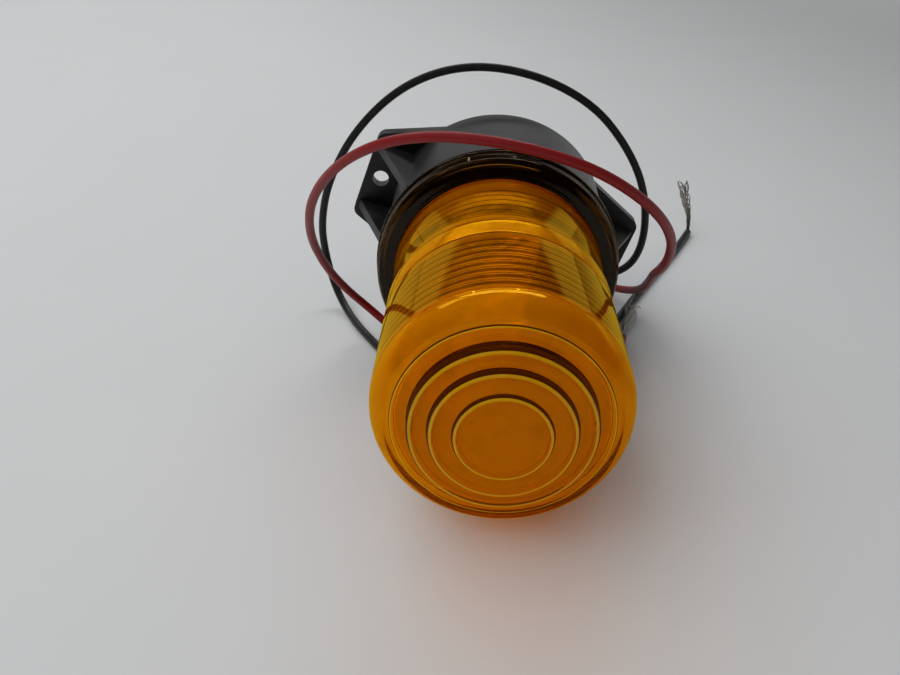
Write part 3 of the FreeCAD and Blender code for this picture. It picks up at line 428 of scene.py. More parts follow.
@dataclass(frozen=True)
class PrismPlastic(Finish):
    """The inside of the lens, whose fine prisms scatter light, most of all behind the plain band, with painted
    light on the band and crown and painted shade on the neck and rib lines.
    """

    # Painted light: brighter, yellower colours for the plain band and the crown.
    band_painted_light: Colour = (1.0, 0.72, 0.004)
    crown_painted_light: Colour = (1.0, 0.74, 0.004)
    # Painted shade: the dark colour of the rib lines and of the neck below the band.
    rib_painted_shade: Colour = (0.08, 0.03, 0.001)
    dim_start_m: float = 0.0570
    band_start_m: float = 0.0640
    band_end_m: float = 0.0760
    ribs_start_m: float = 0.0805
    ribs_end_m: float = 0.1045
    rib_pitch_m: float = 0.0032
    crown_start_m: float = 0.1075
    milk: float = 0.35
    shade: Colour = (1.0, 1.0, 1.0)
    ior: float = 1.58
    edge_m: float = 0.001
    band_edge_m: float = 0.0006
    ribs_edge_m: float = 0.0005
    flow_mm: float = 5.0
    flow_rough: float = 0.15
    grit_mm: float = 0.9
    grit_depth_mm: float = 0.04
    line_waver: float = 0.6
    line_span: Span = (-0.2, 0.7)
    line_depth: float = 0.85
    dim_depth: float = 0.8
    dim_waver: float = 0.6
    clouds_span: Span = (0.35, 0.65)
    clouds_depth: float = 0.6
    crown_span: Span = (0.45, 0.75)
    crown_mottle: float = 0.5
    milk_rough: float = 0.5
    glow_share: float = 0.5
    glow_lost: float = 0.45
    band_milk: float = 0.35
    above_milk: float = 0.25
    crown_milk: float = 0.15
    flow_milk: float = 0.5

    def surface(self, graph: SurfaceGraph) -> Socket:
        """A transmitting dielectric mixed with scattering plastic, with painted light and shade by height, and
        a tinted shadow.
        """
        place = graph.place()
        height = 0.0 - graph.split(place)[1]
        above = height.ease(self.band_end_m - self.band_edge_m, self.band_end_m)
        past_neck = height.ease(self.band_start_m - self.edge_m, self.band_start_m)
        band = past_neck - above
        ribbed = self._past(height, self.ribs_start_m, self.ribs_edge_m)
        ribbed = ribbed - self._past(height, self.ribs_end_m, self.ribs_edge_m)
        crown = self._past(height, self.crown_start_m, self.edge_m)
        # Painted shade: the neck just below the plain band is darkened.
        painted_neck_shade = self._past(height, self.dim_start_m, self.edge_m) - past_neck
        flow = graph.noise(place, self.flow_mm, 4.0)
        uneven = flow - 0.5
        # Painted shade: dark lines along the ribs.
        waves = (height * (math.tau / self.rib_pitch_m) + uneven * self.line_waver).sine()
        lines = waves.ease(*self.line_span) * ribbed
        # Painted shade of the rib lines and the neck, which also weakens the scattered glow there.
        painted_shade = lines * self.line_depth + painted_neck_shade * (self.dim_depth + uneven * self.dim_waver)
        clear = graph.principled({
            "Base Color": graph.blend(painted_shade, self.colour, self.rib_painted_shade),
            "Roughness": uneven * self.flow_rough + self.roughness, "IOR": self.ior,
            "Transmission Weight": 1.0,
            "Normal": graph.bump(graph.noise(place, self.grit_mm, 3.0), self.grit_depth_mm)})
        deeper = tuple(c * self.clouds_depth for c in self.colour)
        clouded = graph.blend(flow.ease(*self.clouds_span), self.colour, deeper)
        # Painted light: the plain band and the mottled crown are brighter and yellower.
        crowned = crown * (1.0 - flow.ease(*self.crown_span) * self.crown_mottle)
        tinted = graph.blend(crowned, clouded, self.crown_painted_light)
        colour = graph.blend(painted_shade, graph.blend(band, tinted, self.band_painted_light), self.rib_painted_shade)
        milky = graph.principled({
            "Base Color": colour, "Roughness": self.milk_rough, "Specular IOR Level": 0.0})
        through = graph.node("ShaderNodeBsdfTranslucent", inputs={"Color": (*self.colour, 1.0)})
        scatter = graph.mix(self.glow_share - painted_shade * self.glow_lost, milky, through.outputs[0])
        share = (band + painted_neck_shade) * self.band_milk + above * self.above_milk + crown * self.crown_milk
        share = share + uneven * self.flow_milk + self.milk
        return graph.tint_shadow(graph.mix(share, clear, scatter), self.shade)

    @staticmethod
    def _past(height: Number, start: float, edge: float) -> Number:
        """0 short of a height and 1 past it, with a soft edge on both sides."""
        return height.ease(start - edge, start + edge)


@dataclass(frozen=True)
class Insulation(Finish):
    """Extruded wire insulation: satin, with faint waves from the die and paler rubbed spots."""

    rubbed: Colour = (0.3, 0.3, 0.3)
    rubbed_span: Span = (0.58, 0.9)
    rubbed_share: float = 0.35
    spots_mm: float = 2.4
    spots_depth_mm: float = 0.02
    waves_mm: float = 12.0
    uneven_rough: float = 0.12
    sheen: float = 0.03
    sheen_rough: float = 0.4
    shine: float = 0.3

    def surface(self, graph: SurfaceGraph) -> Socket:
        """A satin dielectric with a soft sheen."""
        place = graph.place()
        spots = graph.noise(place, self.spots_mm, 5.0)
        waves = graph.noise(place, self.waves_mm, 1.0)
        colour = graph.blend(spots.ease(*self.rubbed_span) * self.rubbed_share, self.colour, self.rubbed)
        rough = (waves - 0.5) * self.uneven_rough + (spots - 0.5) * self.uneven_rough + self.roughness
        return graph.principled({
            "Base Color": colour, "Roughness": rough, "Normal": graph.bump(spots, self.spots_depth_mm),
            "Sheen Weight": self.sheen, "Sheen Roughness": self.sheen_rough,
            "Specular IOR Level": self.shine})


BLACK_MOULDING = Moulded("black_moulding", (0.004, 0.004, 0.0045), 0.42, grain_depth_mm=0.006, haze=0.10)
BLACK_RUBBER = Moulded("black_rubber", (0.016, 0.016, 0.016), 0.75, grain_mm=0.2)
MOTOR_MOULDING = Moulded("motor_moulding", (0.03, 0.03, 0.03), 0.5)
ACETAL = Moulded("white_acetal", (0.80, 0.79, 0.74), 0.35, lighter=1.08)
NYLON = Moulded("natural_nylon", (0.72, 0.69, 0.60), 0.45, lighter=1.08)
FIBRE = Moulded("red_fibre", (0.19, 0.07, 0.035), 0.6, grain_mm=0.15)
CERAMIC = Moulded("dipped_ceramic", (0.48, 0.20, 0.05), 0.3, coat=0.5)
BLACK_GLASS = Moulded("fused_glass", (0.012, 0.012, 0.014), 0.12, grain_depth_mm=0.002, coat=0.6)
PLATED_STEEL = Metal("plated_steel", (0.62, 0.61, 0.58), 0.34, (1.0, 6.0, 1.0))
DRAWN_STEEL = Metal("drawn_steel", (0.52, 0.52, 0.53), 0.36, (6.0, 0.4, 6.0))
SCREW_STEEL = Metal("screw_steel", (0.66, 0.65, 0.61), 0.28)
SPRING_STEEL = Metal("spring_steel", (0.42, 0.42, 0.44), 0.3)
BRASS = Metal("brass", (0.74, 0.56, 0.24), 0.28, tarnish=(0.35, 0.22, 0.08))
TINNED_BRASS = Metal("tinned_brass", (0.66, 0.64, 0.57), 0.32)
BRONZE = Metal("sintered_bronze", (0.46, 0.28, 0.13), 0.5, tarnish=(0.2, 0.1, 0.05))
SOLDER = Metal("solder", (0.60, 0.60, 0.58), 0.35)
TUNGSTEN = Metal("tungsten", (0.30, 0.30, 0.31), 0.45)
TINNED_COPPER = Metal("tinned_copper", (0.46, 0.44, 0.39), 0.38, tarnish=(0.25, 0.19, 0.11))
MIRROR = Metal("metallised", (0.90, 0.90, 0.89), 0.06, lines_depth_mm=0.0, tarnish=(0.8, 0.79, 0.76))
LAMP_GLASS = ClearPlastic("lamp_glass", (0.97, 0.98, 0.98), 0.01, ior=1.5, scuff=0.02, ripple_mm=0.005)
AMBER = ClearPlastic("amber_moulding", (1.0, 0.55, 0.01), 0.035, glint=(1.0, 0.65, 0.02), glint_share=0.98,
                     shade=(0.96, 0.80, 0.42))
# The skirt's deep colour is partly its thick wall and partly painted shade for the black collar behind it.
AMBER_SKIRT = ClearPlastic("amber_skirt", (0.22, 0.09, 0.01), 0.05, glint=(0.30, 0.20, 0.07), glint_share=0.7,
                           ring_pitch_mm=1.1, ring_depth_mm=0.03, shade=(0.5, 0.3, 0.1))
AMBER_PRISMS = PrismPlastic("amber_prisms", (1.0, 0.60, 0.004), 0.10, shade=(0.82, 0.60, 0.26))
# Painted highlight: brighter yellow amber for the crown's crests and the band's rear edge.
AMBER_PAINTED_HIGHLIGHT = PrismPlastic("amber_painted_highlight", (1.0, 0.74, 0.02), 0.2, milk=0.3, shade=(0.9, 0.7, 0.3))
# Painted shade: near-black amber for the crown's risers, the groove above the band and the steep bore prisms.
AMBER_PAINTED_SHADE = ClearPlastic("amber_painted_shade", (0.03, 0.012, 0.001), 0.06, glint=(0.16, 0.08, 0.01),
                           glint_share=0.6, shade=(0.6, 0.4, 0.15))
RED_PVC = Insulation("red_pvc", (0.25, 0.008, 0.009), 0.42, rubbed=(0.36, 0.12, 0.12))
BLACK_PVC = Insulation("black_pvc", (0.014, 0.014, 0.014), 0.4, rubbed=(0.08, 0.08, 0.08))


# ---- Making and placing meshes ----

SHARP_DEGREES = 32.0
ON_AXIS_MM = 1e-6           # a radius below this is a point on the axis
SAME_PLACE_M = 1e-7
CUT_BACK = 0.4              # the share of a side that a rounded corner may take


def new_object(name: str, data: bpy.types.ID) -> bpy.types.Object:
    """A new object at the origin, in the scene."""
    made = bpy.data.objects.new(name, data)
    bpy.context.scene.collection.objects.link(made)
    return made


def smooth(mesh: bpy.types.Mesh, degrees: float = SHARP_DEGREES) -> None:
    """Shades a mesh smooth, with sharp edges where faces meet at more than an angle."""
    mesh.shade_smooth()
    mesh.set_sharp_from_angle(angle=math.radians(degrees))


def ringed(radius: float, height: float, angle: float) -> Vector:
    """The place in metres of a point of a round piece, from its radius, height and angle about the axis."""
    return Vector((radius * math.cos(angle), -height, radius * math.sin(angle))) * MM


def fillet(points: Outline, radius: float, steps: int = 3) -> Outline:
    """Rounds each inner corner of an open outline by cutting it back and following a curve.

    Args:
        points: Pairs of radius and height.
        radius: How far a corner is cut back, at most CUT_BACK of the shorter side beside it.
        steps: Spans of the curve at a corner.

    Returns:
        The rounded outline.
    """
    rounded = [points[0]]
    for before, corner, after in zip(points, points[1:], points[2:]):
        a, b, c = Vector(before), Vector(corner), Vector(after)
        back = min(radius, CUT_BACK * (a - b).length, CUT_BACK * (c - b).length)
        first = b + (a - b).normalized() * back
        last = b + (c - b).normalized() * back
        for k in range(steps + 1):
            t = k / steps
            at = first * (1 - t) ** 2 + b * 2 * t * (1 - t) + last * t ** 2
            rounded.append((at.x, at.y))
    rounded.append(points[-1])
    return rounded


def lathe(name: str, outline: Outline, segments: int = 192) -> bpy.types.Object:
    """Turns an outline into a closed piece about the beacon's axis.

    Args:
        name: The piece's name.
        outline: Pairs of radius and height, from the axis or round and back to the start.
        segments: Steps round the axis.

    Returns:
        The piece, with its faces outwards.
    """
    mesh = bmesh.new()
    rings = []
    for radius, height in outline:
        count = segments if radius > ON_AXIS_MM else 1
        rings.append([mesh.verts.new(ringed(radius, height, math.tau * k / segments)) for k in range(count)])
    for lower, upper in zip(rings, rings[1:]):
        if len(lower) == len(upper) == 1:
            continue
        for k in range(segments):
            following = (k + 1) % segments
            corners = [lower[k % len(lower)], lower[following % len(lower)],
                       upper[following % len(upper)], upper[k % len(upper)]]
            mesh.faces.new(list(dict.fromkeys(corners)))
    bmesh.ops.remove_doubles(mesh, verts=mesh.verts, dist=SAME_PLACE_M)
    bmesh.ops.recalc_face_normals(mesh, faces=mesh.faces)
    data = bpy.data.meshes.new(name)
    mesh.to_mesh(data)
    mesh.free()
    smooth(data)
    return new_object(name, data)


def place_piece(piece: bpy.types.Object, body: Body, finish: Finish, slot: str, *stands_for: str) -> None:
    """Dresses a piece, puts it on its body and hides the nodes that it stands for.

    Args:
        piece: The piece.
        body: The body that it rides on.
        finish: What it is made of.
        slot: The record's material slot; not used.
        stands_for: Nodes that it replaces.
    """
    piece.data.materials.clear()
    piece.data.materials.append(finish.material())
    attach(piece, body.value)
    if stands_for:
        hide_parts(*stands_for)
    log.info("%s rides on %s", piece.name, body.value)


# ---- Geometry Nodes ----

class Shaper:
    """A Geometry Nodes tree with named inputs, used once and turned into a plain mesh."""

    def __init__(self, name: str, sizes: dict[str, float | int]) -> None:
        """Starts a tree.

        Args:
            name: The name of the tree and of the piece.
            sizes: Its inputs by name, whole numbers for counts.
        """
        self.name = name
        self.sizes = sizes
        self.tree = bpy.data.node_groups.new(name + "_shape", "GeometryNodeTree")
        self.graph = Graph(self.tree)
        self.tree.interface.new_socket("Geometry", in_out="INPUT", socket_type="NodeSocketGeometry")
        for label, value in sizes.items():
            kind = "NodeSocketInt" if isinstance(value, int) else "NodeSocketFloat"
            self.tree.interface.new_socket(label, in_out="INPUT", socket_type=kind)
        self.tree.interface.new_socket("Material", in_out="INPUT", socket_type="NodeSocketMaterial")
        self.tree.interface.new_socket("Geometry", in_out="OUTPUT", socket_type="NodeSocketGeometry")
        self.start = self.graph.node("NodeGroupInput")

    def size(self, label: str) -> Number:
        """One of the tree's inputs."""
        return Number(self.graph, self.start.outputs[label])

    def finish(self, geometry: Socket) -> None:
        """Ends the tree with real, smooth, dressed geometry."""
        real = self.graph.node("GeometryNodeRealizeInstances", inputs={"Geometry": geometry})
        soft = self.graph.node("GeometryNodeSetShadeSmooth", inputs={"Geometry": real.outputs[0]})
        dressed = self.graph.node("GeometryNodeSetMaterial", inputs={
            "Geometry": soft.outputs[0], "Material": self.start.outputs["Material"]})
        self.graph.node("NodeGroupOutput", inputs={"Geometry": dressed.outputs[0]})

    def tube(self, curve: Any, sides: int, radius: str) -> Socket:
        """A round, closed tube along a curve.

        Args:
            curve: The curve's geometry.
            sides: Faces round the tube.
            radius: The input that holds its radius.

        Returns:
            The tube's geometry.
        """
        section = self.graph.node("GeometryNodeCurvePrimitiveCircle",
                                  inputs={"Resolution": sides, "Radius": self.size(radius)})
        return self.graph.node("GeometryNodeCurveToMesh", inputs={
            "Curve": curve, "Profile Curve": section.outputs[0], "Fill Caps": True}).outputs[0]

    def make(self, seed_mesh: bpy.types.Mesh, finish: Finish, turn: Matrix | None = None) -> bpy.types.Object:
        """Runs the tree on a mesh.

        Args:
            seed_mesh: What the tree starts from.
            finish: What the piece is made of.
            turn: Where the result goes, if it isn't made in place.

        Returns:
            A plain mesh piece at the origin.
        """
        holder = new_object(self.name + "_holder", seed_mesh)
        modifier = holder.modifiers.new("shape", "NODES")
        modifier.node_group = self.tree
        values = {**self.sizes, "Material": finish.material()}
        for item in self.tree.interface.items_tree:
            if item.in_out == "INPUT" and item.name in values:
                modifier[item.identifier] = values[item.name]
        evaluated = holder.evaluated_get(bpy.context.evaluated_depsgraph_get())
        mesh = bpy.data.meshes.new_from_object(evaluated)
        mesh.name = self.name
        if turn is not None:
            mesh.transform(turn)
        bpy.data.objects.remove(holder)
        return new_object(self.name, mesh)


RIDGE_SIDES = 8


def helix_piece(name: str, finish: Finish, turn: Matrix, sizes: dict[str, float | int]) -> bpy.types.Object:
    """A round wire or ridge wound in a helix.

    Args:
        name: The piece's name.
        finish: What it is made of.
        turn: From an upright helix on Z to its place.
        sizes: "Radius", "Height", "Turns", "Wire radius" in metres, and "Steps".

    Returns:
        The piece.
    """
    shaper = Shaper(name, sizes)
    spiral = shaper.graph.node("GeometryNodeCurveSpiral", inputs={
        "Resolution": shaper.size("Steps"), "Rotations": shaper.size("Turns"),
        "Start Radius": shaper.size("Radius"), "End Radius": shaper.size("Radius"),
        "Height": shaper.size("Height")})
    shaper.finish(shaper.tube(spiral.outputs[0], RIDGE_SIDES, "Wire radius"))
    return shaper.make(bpy.data.meshes.new(name + "_seed"), finish, turn)


AXIS_FROM_Z = Matrix.Rotation(math.radians(90), 4, "X")


def along_axis(height: float) -> Matrix:
    """Lays an upright piece on the beacon's axis, with its foot at a height above the mounting face."""
    return Matrix.Translation((0, -height * MM, 0)) @ AXIS_FROM_Z


# ---- Leads ----

@dataclass
class Lead:
    """A supply lead that lies and stands as its own springiness holds it, with its bared strands."""

    name: str
    route: tuple[Point, ...]
    finish: Finish
    slot: str
    strand_tip: Point
    strand_knee: Point
    seed: int
    length_m: float
    diameter: float = 2.5
    strands: int = 16
    strand_radius: float = 0.15
    strand_sides: int = 6
    bundle_radius: float = 0.55
    splay: float = 2.2
    twist: float = 5.5
    waviness: float = 2.6
    wave_scale: float = 260.0
    wave_shift: float = 3.7
    tucked_in: float = 2.0
    core_steps: int = 8
    core_smoothings: int = 3
    strand_points: int = 36
    least_reach: float = 0.3
    chance_reach: float = 0.7
    curve_steps: int = 12
    round_steps: int = 5

    def build(self) -> None:
        """Makes the bared strands, and the insulation as a cord."""
        strands = self._strands()
        place_piece(strands, Body.BASE, TINNED_COPPER, "tinned_copper", self.name + "_strands")
        self._insulation()

    def _insulation(self) -> None:
        """The insulated length, one smooth spline."""
        curve = bpy.data.curves.new(self.name + "_wire", "CURVE")
        curve.dimensions = "3D"
        spline = curve.splines.new("NURBS")
        spline.points.add(len(self.route) - 1)
        for target, point in zip(spline.points, self.route):
            target.co = (*point, 1.0)
        spline.order_u = 3
        spline.use_endpoint_u = True
        spline.resolution_u = self.curve_steps
        curve.bevel_depth = self.diameter / 2 * MM
        curve.bevel_resolution = self.round_steps
        curve.use_fill_caps = True
        piece = new_object(self.name + "_wire", curve)
        place_piece(piece, Body.BASE, self.finish, self.slot, self.name)
        self.diameter * MM

    def _strands(self) -> bpy.types.Object:
        """The bared strands: a loose twist that frays towards its tips."""
        end = Vector(self.route[-1])
        inward = (end - Vector(self.route[-2])).normalized()
        core = [end - inward * self.tucked_in * MM, end, Vector(self.strand_knee), Vector(self.strand_tip)]
        path = []
        for k in range(len(core) - 1):
            for t in range(self.core_steps):
                path.append(core[k].lerp(core[k + 1], t / self.core_steps))
        path.append(core[-1])
        for _ in range(self.core_smoothings):
            between = [(a + b * 2 + c) / 4 for a, b, c in zip(path, path[1:], path[2:])]
            path = [path[0]] + between + [path[-1]]
        mesh = bpy.data.meshes.new(self.name + "_core")
        mesh.from_pydata(path, [(k, k + 1) for k in range(len(path) - 1)], [])
        return self._strand_shape().make(mesh, TINNED_COPPER)

    def _strand_shape(self) -> Shaper:
        """The tree that winds strands round a core line."""
        shaper = Shaper(self.name + "_bare_strands", {
            "Strands": self.strands, "Strand radius": self.strand_radius * MM,
            "Bundle radius": self.bundle_radius * MM, "Splay": self.splay * MM, "Twist": self.twist,
            "Waviness": self.waviness * MM, "Seed": self.seed})
        graph = shaper.graph
        line = graph.node("GeometryNodeMeshToCurve", inputs={"Mesh": shaper.start.outputs["Geometry"]})
        even = graph.node("GeometryNodeResampleCurve", inputs={
            "Curve": line.outputs[0], "Count": self.strand_points})
        copies = graph.node("GeometryNodeDuplicateElements", {"domain": "SPLINE"},
                            {"Geometry": even.outputs[0], "Amount": shaper.size("Strands")})
        index = Number(graph, copies.outputs["Duplicate Index"])
        along = Number(graph, graph.node("GeometryNodeSplineParameter").outputs["Factor"])
        draw = graph.node("FunctionNodeRandomValue", {"data_type": "FLOAT"},
                          {"ID": index, "Seed": shaper.size("Seed")})
        chance = Number(graph, draw.outputs[1])
        angle = index * math.tau / shaper.size("Strands") + along * shaper.size("Twist")
        reach = shaper.size("Bundle radius") * (chance * self.chance_reach + self.least_reach)
        reach = reach + shaper.size("Splay") * chance * along ** 2
        normal = Arrow(graph, graph.node("GeometryNodeInputNormal").outputs[0])
        tangent = Arrow(graph, graph.node("GeometryNodeInputTangent").outputs[0])
        side = tangent.cross(normal)
        here = Arrow(graph, graph.node("GeometryNodeInputPosition").outputs[0])
        ripple = graph.node("ShaderNodeTexNoise", {"noise_dimensions": "4D"},
                            {"Vector": here, "W": index * self.wave_shift, "Scale": self.wave_scale,
                             "Detail": 1.0})
        wave = (Arrow(graph, ripple.outputs["Color"]) - (0.5, 0.5, 0.5)) * (shaper.size("Waviness") * along)
        offset = normal * (angle.cosine() * reach) + side * (angle.sine() * reach) + wave
        moved = graph.node("GeometryNodeSetPosition",
                           inputs={"Geometry": copies.outputs[0], "Offset": offset})
        shaper.finish(shaper.tube(moved.outputs[0], self.strand_sides, "Strand radius"))
        return shaper


FLOOR = cad_low.z
ON_FLOOR = FLOOR + Lead.diameter / 2 * MM
BLACK_ROUTE = (
    (-0.002054, 0.0, 0.000788), (-0.0020, 0.0108, 0.0008), (0.0030, 0.0215, -0.0040),
    (0.0120, 0.0280, -0.0140), (0.0245, 0.0235, -0.0265), (0.0365, 0.0155, -0.0310),
    (0.0460, 0.0098, -0.0245), (0.0496, 0.0075, -0.0120), (0.0480, 0.0070, 0.0050),
    (0.0412, 0.0070, 0.0195), (0.0298, 0.0070, 0.0332), (0.0115, 0.0070, 0.0428),
    (-0.0090, 0.0070, 0.0458), (-0.0280, 0.0070, 0.0400), (-0.0440, 0.0075, 0.0255),
    (-0.0540, 0.0085, 0.0080), (-0.0578, 0.0100, -0.0075), (-0.0574, 0.0110, -0.0195),
    (-0.0545, 0.0060, -0.0285), (-0.0498, -0.0025, ON_FLOOR), (-0.0443, -0.0145, ON_FLOOR),
    (-0.0370, -0.0270, ON_FLOOR), (-0.0295, -0.0400, ON_FLOOR), (-0.0205, -0.0545, ON_FLOOR),
    (-0.0065, -0.0610, ON_FLOOR), (0.0090, -0.0595, ON_FLOOR), (0.0210, -0.0490, ON_FLOOR),
    (0.0300, -0.0330, ON_FLOOR), (0.0375, -0.0150, ON_FLOOR), (0.0470, 0.0045, ON_FLOOR),
    (0.0575, 0.0240, ON_FLOOR), (0.0670, 0.0410, ON_FLOOR), (0.0744, 0.0570, ON_FLOOR),
)
RED_ROUTE = (
    (0.002054, 0.0, -0.000788), (0.0020, 0.0105, -0.0008), (0.0055, 0.0190, -0.0068),
    (0.0135, 0.0225, -0.0175), (0.0260, 0.0180, -0.0275), (0.0375, 0.0090, -0.0312),
    (0.0455, -0.0030, -0.0270), (0.0470, -0.0185, -0.0165), (0.0450, -0.0360, -0.0035),
    (0.0445, -0.0540, 0.0075), (0.0426, -0.0720, 0.0240), (0.0340, -0.0850, 0.0388),
    (0.0185, -0.0910, 0.0508), (-0.0020, -0.0900, 0.0563), (-0.0210, -0.0830, 0.0550),
    (-0.0365, -0.0720, 0.0460), (-0.0480, -0.0570, 0.0305), (-0.0530, -0.0400, 0.0120),
    (-0.0518, -0.0260, -0.0050), (-0.0475, -0.0180, -0.0170), (-0.0410, -0.0143, -0.0260),
    (-0.0334, -0.0176, -0.0318), (-0.0275, -0.0272, ON_FLOOR), (-0.0250, -0.0390, ON_FLOOR),
    (-0.0215, -0.0495, FLOOR + 0.0066), (-0.0185, -0.0585, FLOOR + 0.0066),
    (-0.0135, -0.0695, ON_FLOOR), (-0.0010, -0.0765, ON_FLOOR), (0.0135, -0.0735, ON_FLOOR),
    (0.0255, -0.0625, ON_FLOOR), (0.0330, -0.0480, ON_FLOOR), (0.0374, -0.0340, ON_FLOOR),
    (0.0400, -0.0215, ON_FLOOR),
)


# ---- Lens ----

@dataclass
class Lens:
    """The amber jar lens: skirt, shoulder, neck, plain band, ribbed body and stepped crown."""

    wall: float = 2.4
    skirt_r: float = 34.6
    skirt_wall: float = 2.8
    skirt_bottom: float = 36.3
    skirt_lip: float = 0.5
    gasket_top: float = 42.4
    shoulder_top: float = 44.3
    neck_r: float = 29.2
    neck_draft: float = 0.8
    band_h: float = 68.4
    band_r: float = 29.45
    band_t: float = 10.0
    groove: float = 0.35
    body_r: float = 29.6
    body_top_r: float = 30.1
    body_top_h: float = 107.0
    rim_r: float = 26.8
    rim_h: float = 115.3
    steps: tuple[tuple[float, float], ...] = ((24.7, 0.6), (20.0, 3.6), (15.4, 2.2), (10.1, 1.3))
    step_run: float = 1.3
    land_dish: float = 0.12
    prism_pitch: float = 3.2
    prism_depth: float = 0.7
    prism_count: int = 8
    neck_pitch: float = 3.0
    neck_depth: float = 0.4
    neck_count: int = 7
    edge: float = 0.28
    bore_edge: float = 0.6
    lip_h: float = 1.4
    shoulder_round: tuple[Span, ...] = ((0.0, 2.4), (0.8, 0.9), (2.4, 0.3))
    band_round: tuple[Span, ...] = ((0.4, 0.6), (0.0, 1.8))
    band_rim: float = 0.6
    groove_exit: float = 0.7
    turn_corner: Span = (0.4, 5.6)
    turn_steps: int = 10
    start_thin: float = 0.3
    corner_thin: float = 0.8
    steepest: float = 0.9
    step_thin: float = 0.4
    crest_points: int = 7
    crest_degrees: float = 15.0
    prism_lean: float = 0.25
    prism_end: float = 1.0
    bore_step: float = 1.2

    def build(self) -> None:
        """Makes the lens and puts it on its body."""
        outside = fillet(self._outside(), self.edge)
        inside = fillet(self._inside(), self.edge * self.bore_edge, 2)
        piece = lathe("amber_lens", outside + inside + outside[:1])
        place_piece(piece, Body.LENS, AMBER, "amber_lens", "lens")
        self._frost(piece)

    def _frost(self, piece: bpy.types.Object) -> None:
        """Gives the prismatic inside above the shoulder and the skirt surfaces of their own, with painted
        shade on the risers, groove and steep bore prisms, and painted highlights on the crests and the band's
        rear edge.
        """
        looks = (AMBER_PRISMS, AMBER_SKIRT, AMBER_PAINTED_SHADE, AMBER_PAINTED_HIGHLIGHT)
        for look in looks:
            piece.data.materials.append(look.material())
        prisms, skirt, painted_shade_faces, painted_highlight_faces = range(1, len(looks) + 1)
        for face in piece.data.polygons:
            radius = math.hypot(face.center.x, face.center.z) / MM
            height = -face.center.y / MM
            inward = face.normal.x * face.center.x + face.normal.z * face.center.z < 0
            steep = abs(face.normal.y) > 0.4 and height < self.body_top_h - 2.0
            underside = height > self.rim_h - self.wall and face.normal.y > 0.6
            bore = height < self.body_top_h and inward
            turn = height > self.body_top_h and inward and face.normal.y > 0
            in_reach = height > self.shoulder_top and radius < self.body_top_r - self.wall * 0.8
            rear_edge = not inward and self.band_h < height < self.band_h + 1.0
            groove = not inward and abs(height - self.band_h - self.band_t - 0.2) < 0.5
            stepped = height > self.rim_h - 1.0 and radius < self.rim_r - 0.3 and not inward
            riser = stepped and abs(face.normal.y) < 0.75
            crest = stepped and 0.75 < abs(face.normal.y) < 0.985
            if height < self.shoulder_top + 0.3 and radius > self.neck_r:
                face.material_index = skirt
            # Painted shade on the risers, the groove and the steep bore prisms.
            elif riser or groove or (in_reach and bore and steep):
                face.material_index = painted_shade_faces
            # Painted highlight on the crown's crests and the band's rear edge.
            elif crest or rear_edge:
                face.material_index = painted_highlight_faces
            elif in_reach and (bore or underside or (turn and height < self.rim_h - self.wall)):
                face.material_index = prisms

    def _crown(self, shrink: float) -> Outline:
        """The stepped crown from its rim to the axis, drawn inwards by shrink."""
        points = [(self.rim_r - shrink, self.rim_h - shrink)]
        radius, height = self.rim_r, self.rim_h
        for crest, rise in self.steps:
            run = min(self.step_run, rise * self.steepest)
            height -= (radius - crest - run) * self.land_dish
            points.append((crest + run - shrink * self.step_thin, height - shrink))
            height += rise
            for k in range(self.crest_points):
                turn = math.radians(self.crest_degrees * k)
                points.append((crest + run * math.cos(turn) - shrink * self.step_thin,
                               height - run * (1 - math.sin(turn)) - shrink))
            radius = crest
        points.append((0.0, height - shrink))
        return points

    def _turn(self, shrink: float) -> Outline:
        """The rounded turn from the body's top to the rim, without its two ends."""
        out, up = self.turn_corner
        start = Vector((self.body_top_r - shrink, self.body_top_h - shrink * self.start_thin))
        end = Vector((self.rim_r - shrink, self.rim_h - shrink))
        corner = Vector((self.body_top_r + out - shrink, self.body_top_h + up - shrink * self.corner_thin))
        return [tuple(start * (1 - t) ** 2 + corner * 2 * t * (1 - t) + end * t ** 2)
                for t in (k / self.turn_steps for k in range(1, self.turn_steps))]

    def _outside(self) -> Outline:
        """The outer outline, from the skirt's edge to the middle of the crown."""
        side = self.skirt_r - self.skirt_lip
        neck_top = self.neck_r - self.neck_draft
        band_top = self.band_h + self.band_t
        lip_top = self.skirt_bottom + self.lip_h
        points = [(self.skirt_r, self.skirt_bottom), (self.skirt_r, lip_top),
                  (side, lip_top + self.skirt_lip)]
        points += [(side - back, self.shoulder_top - down) for back, down in self.shoulder_round]
        points += [(self.neck_r, self.shoulder_top), (neck_top, self.band_h)]
        points += [(self.band_r - back, self.band_h + up) for back, up in self.band_round]
        points += [(self.band_r, band_top - self.band_rim), (self.band_r - self.groove, band_top),
                   (self.body_r, band_top + self.groove_exit), (self.body_top_r, self.body_top_h)]
        return points + self._turn(0.0) + self._crown(0.0)

    def _prisms(self, radius: float, top: float, pitch: float, depth: float, count: int) -> Outline:
        """Annular prisms on a bore, from the top one down."""
        points = []
        for k in range(count):
            crest = top - k * pitch
            points += [(radius - depth, crest - pitch * self.prism_lean), (radius, crest - pitch)]
        return points

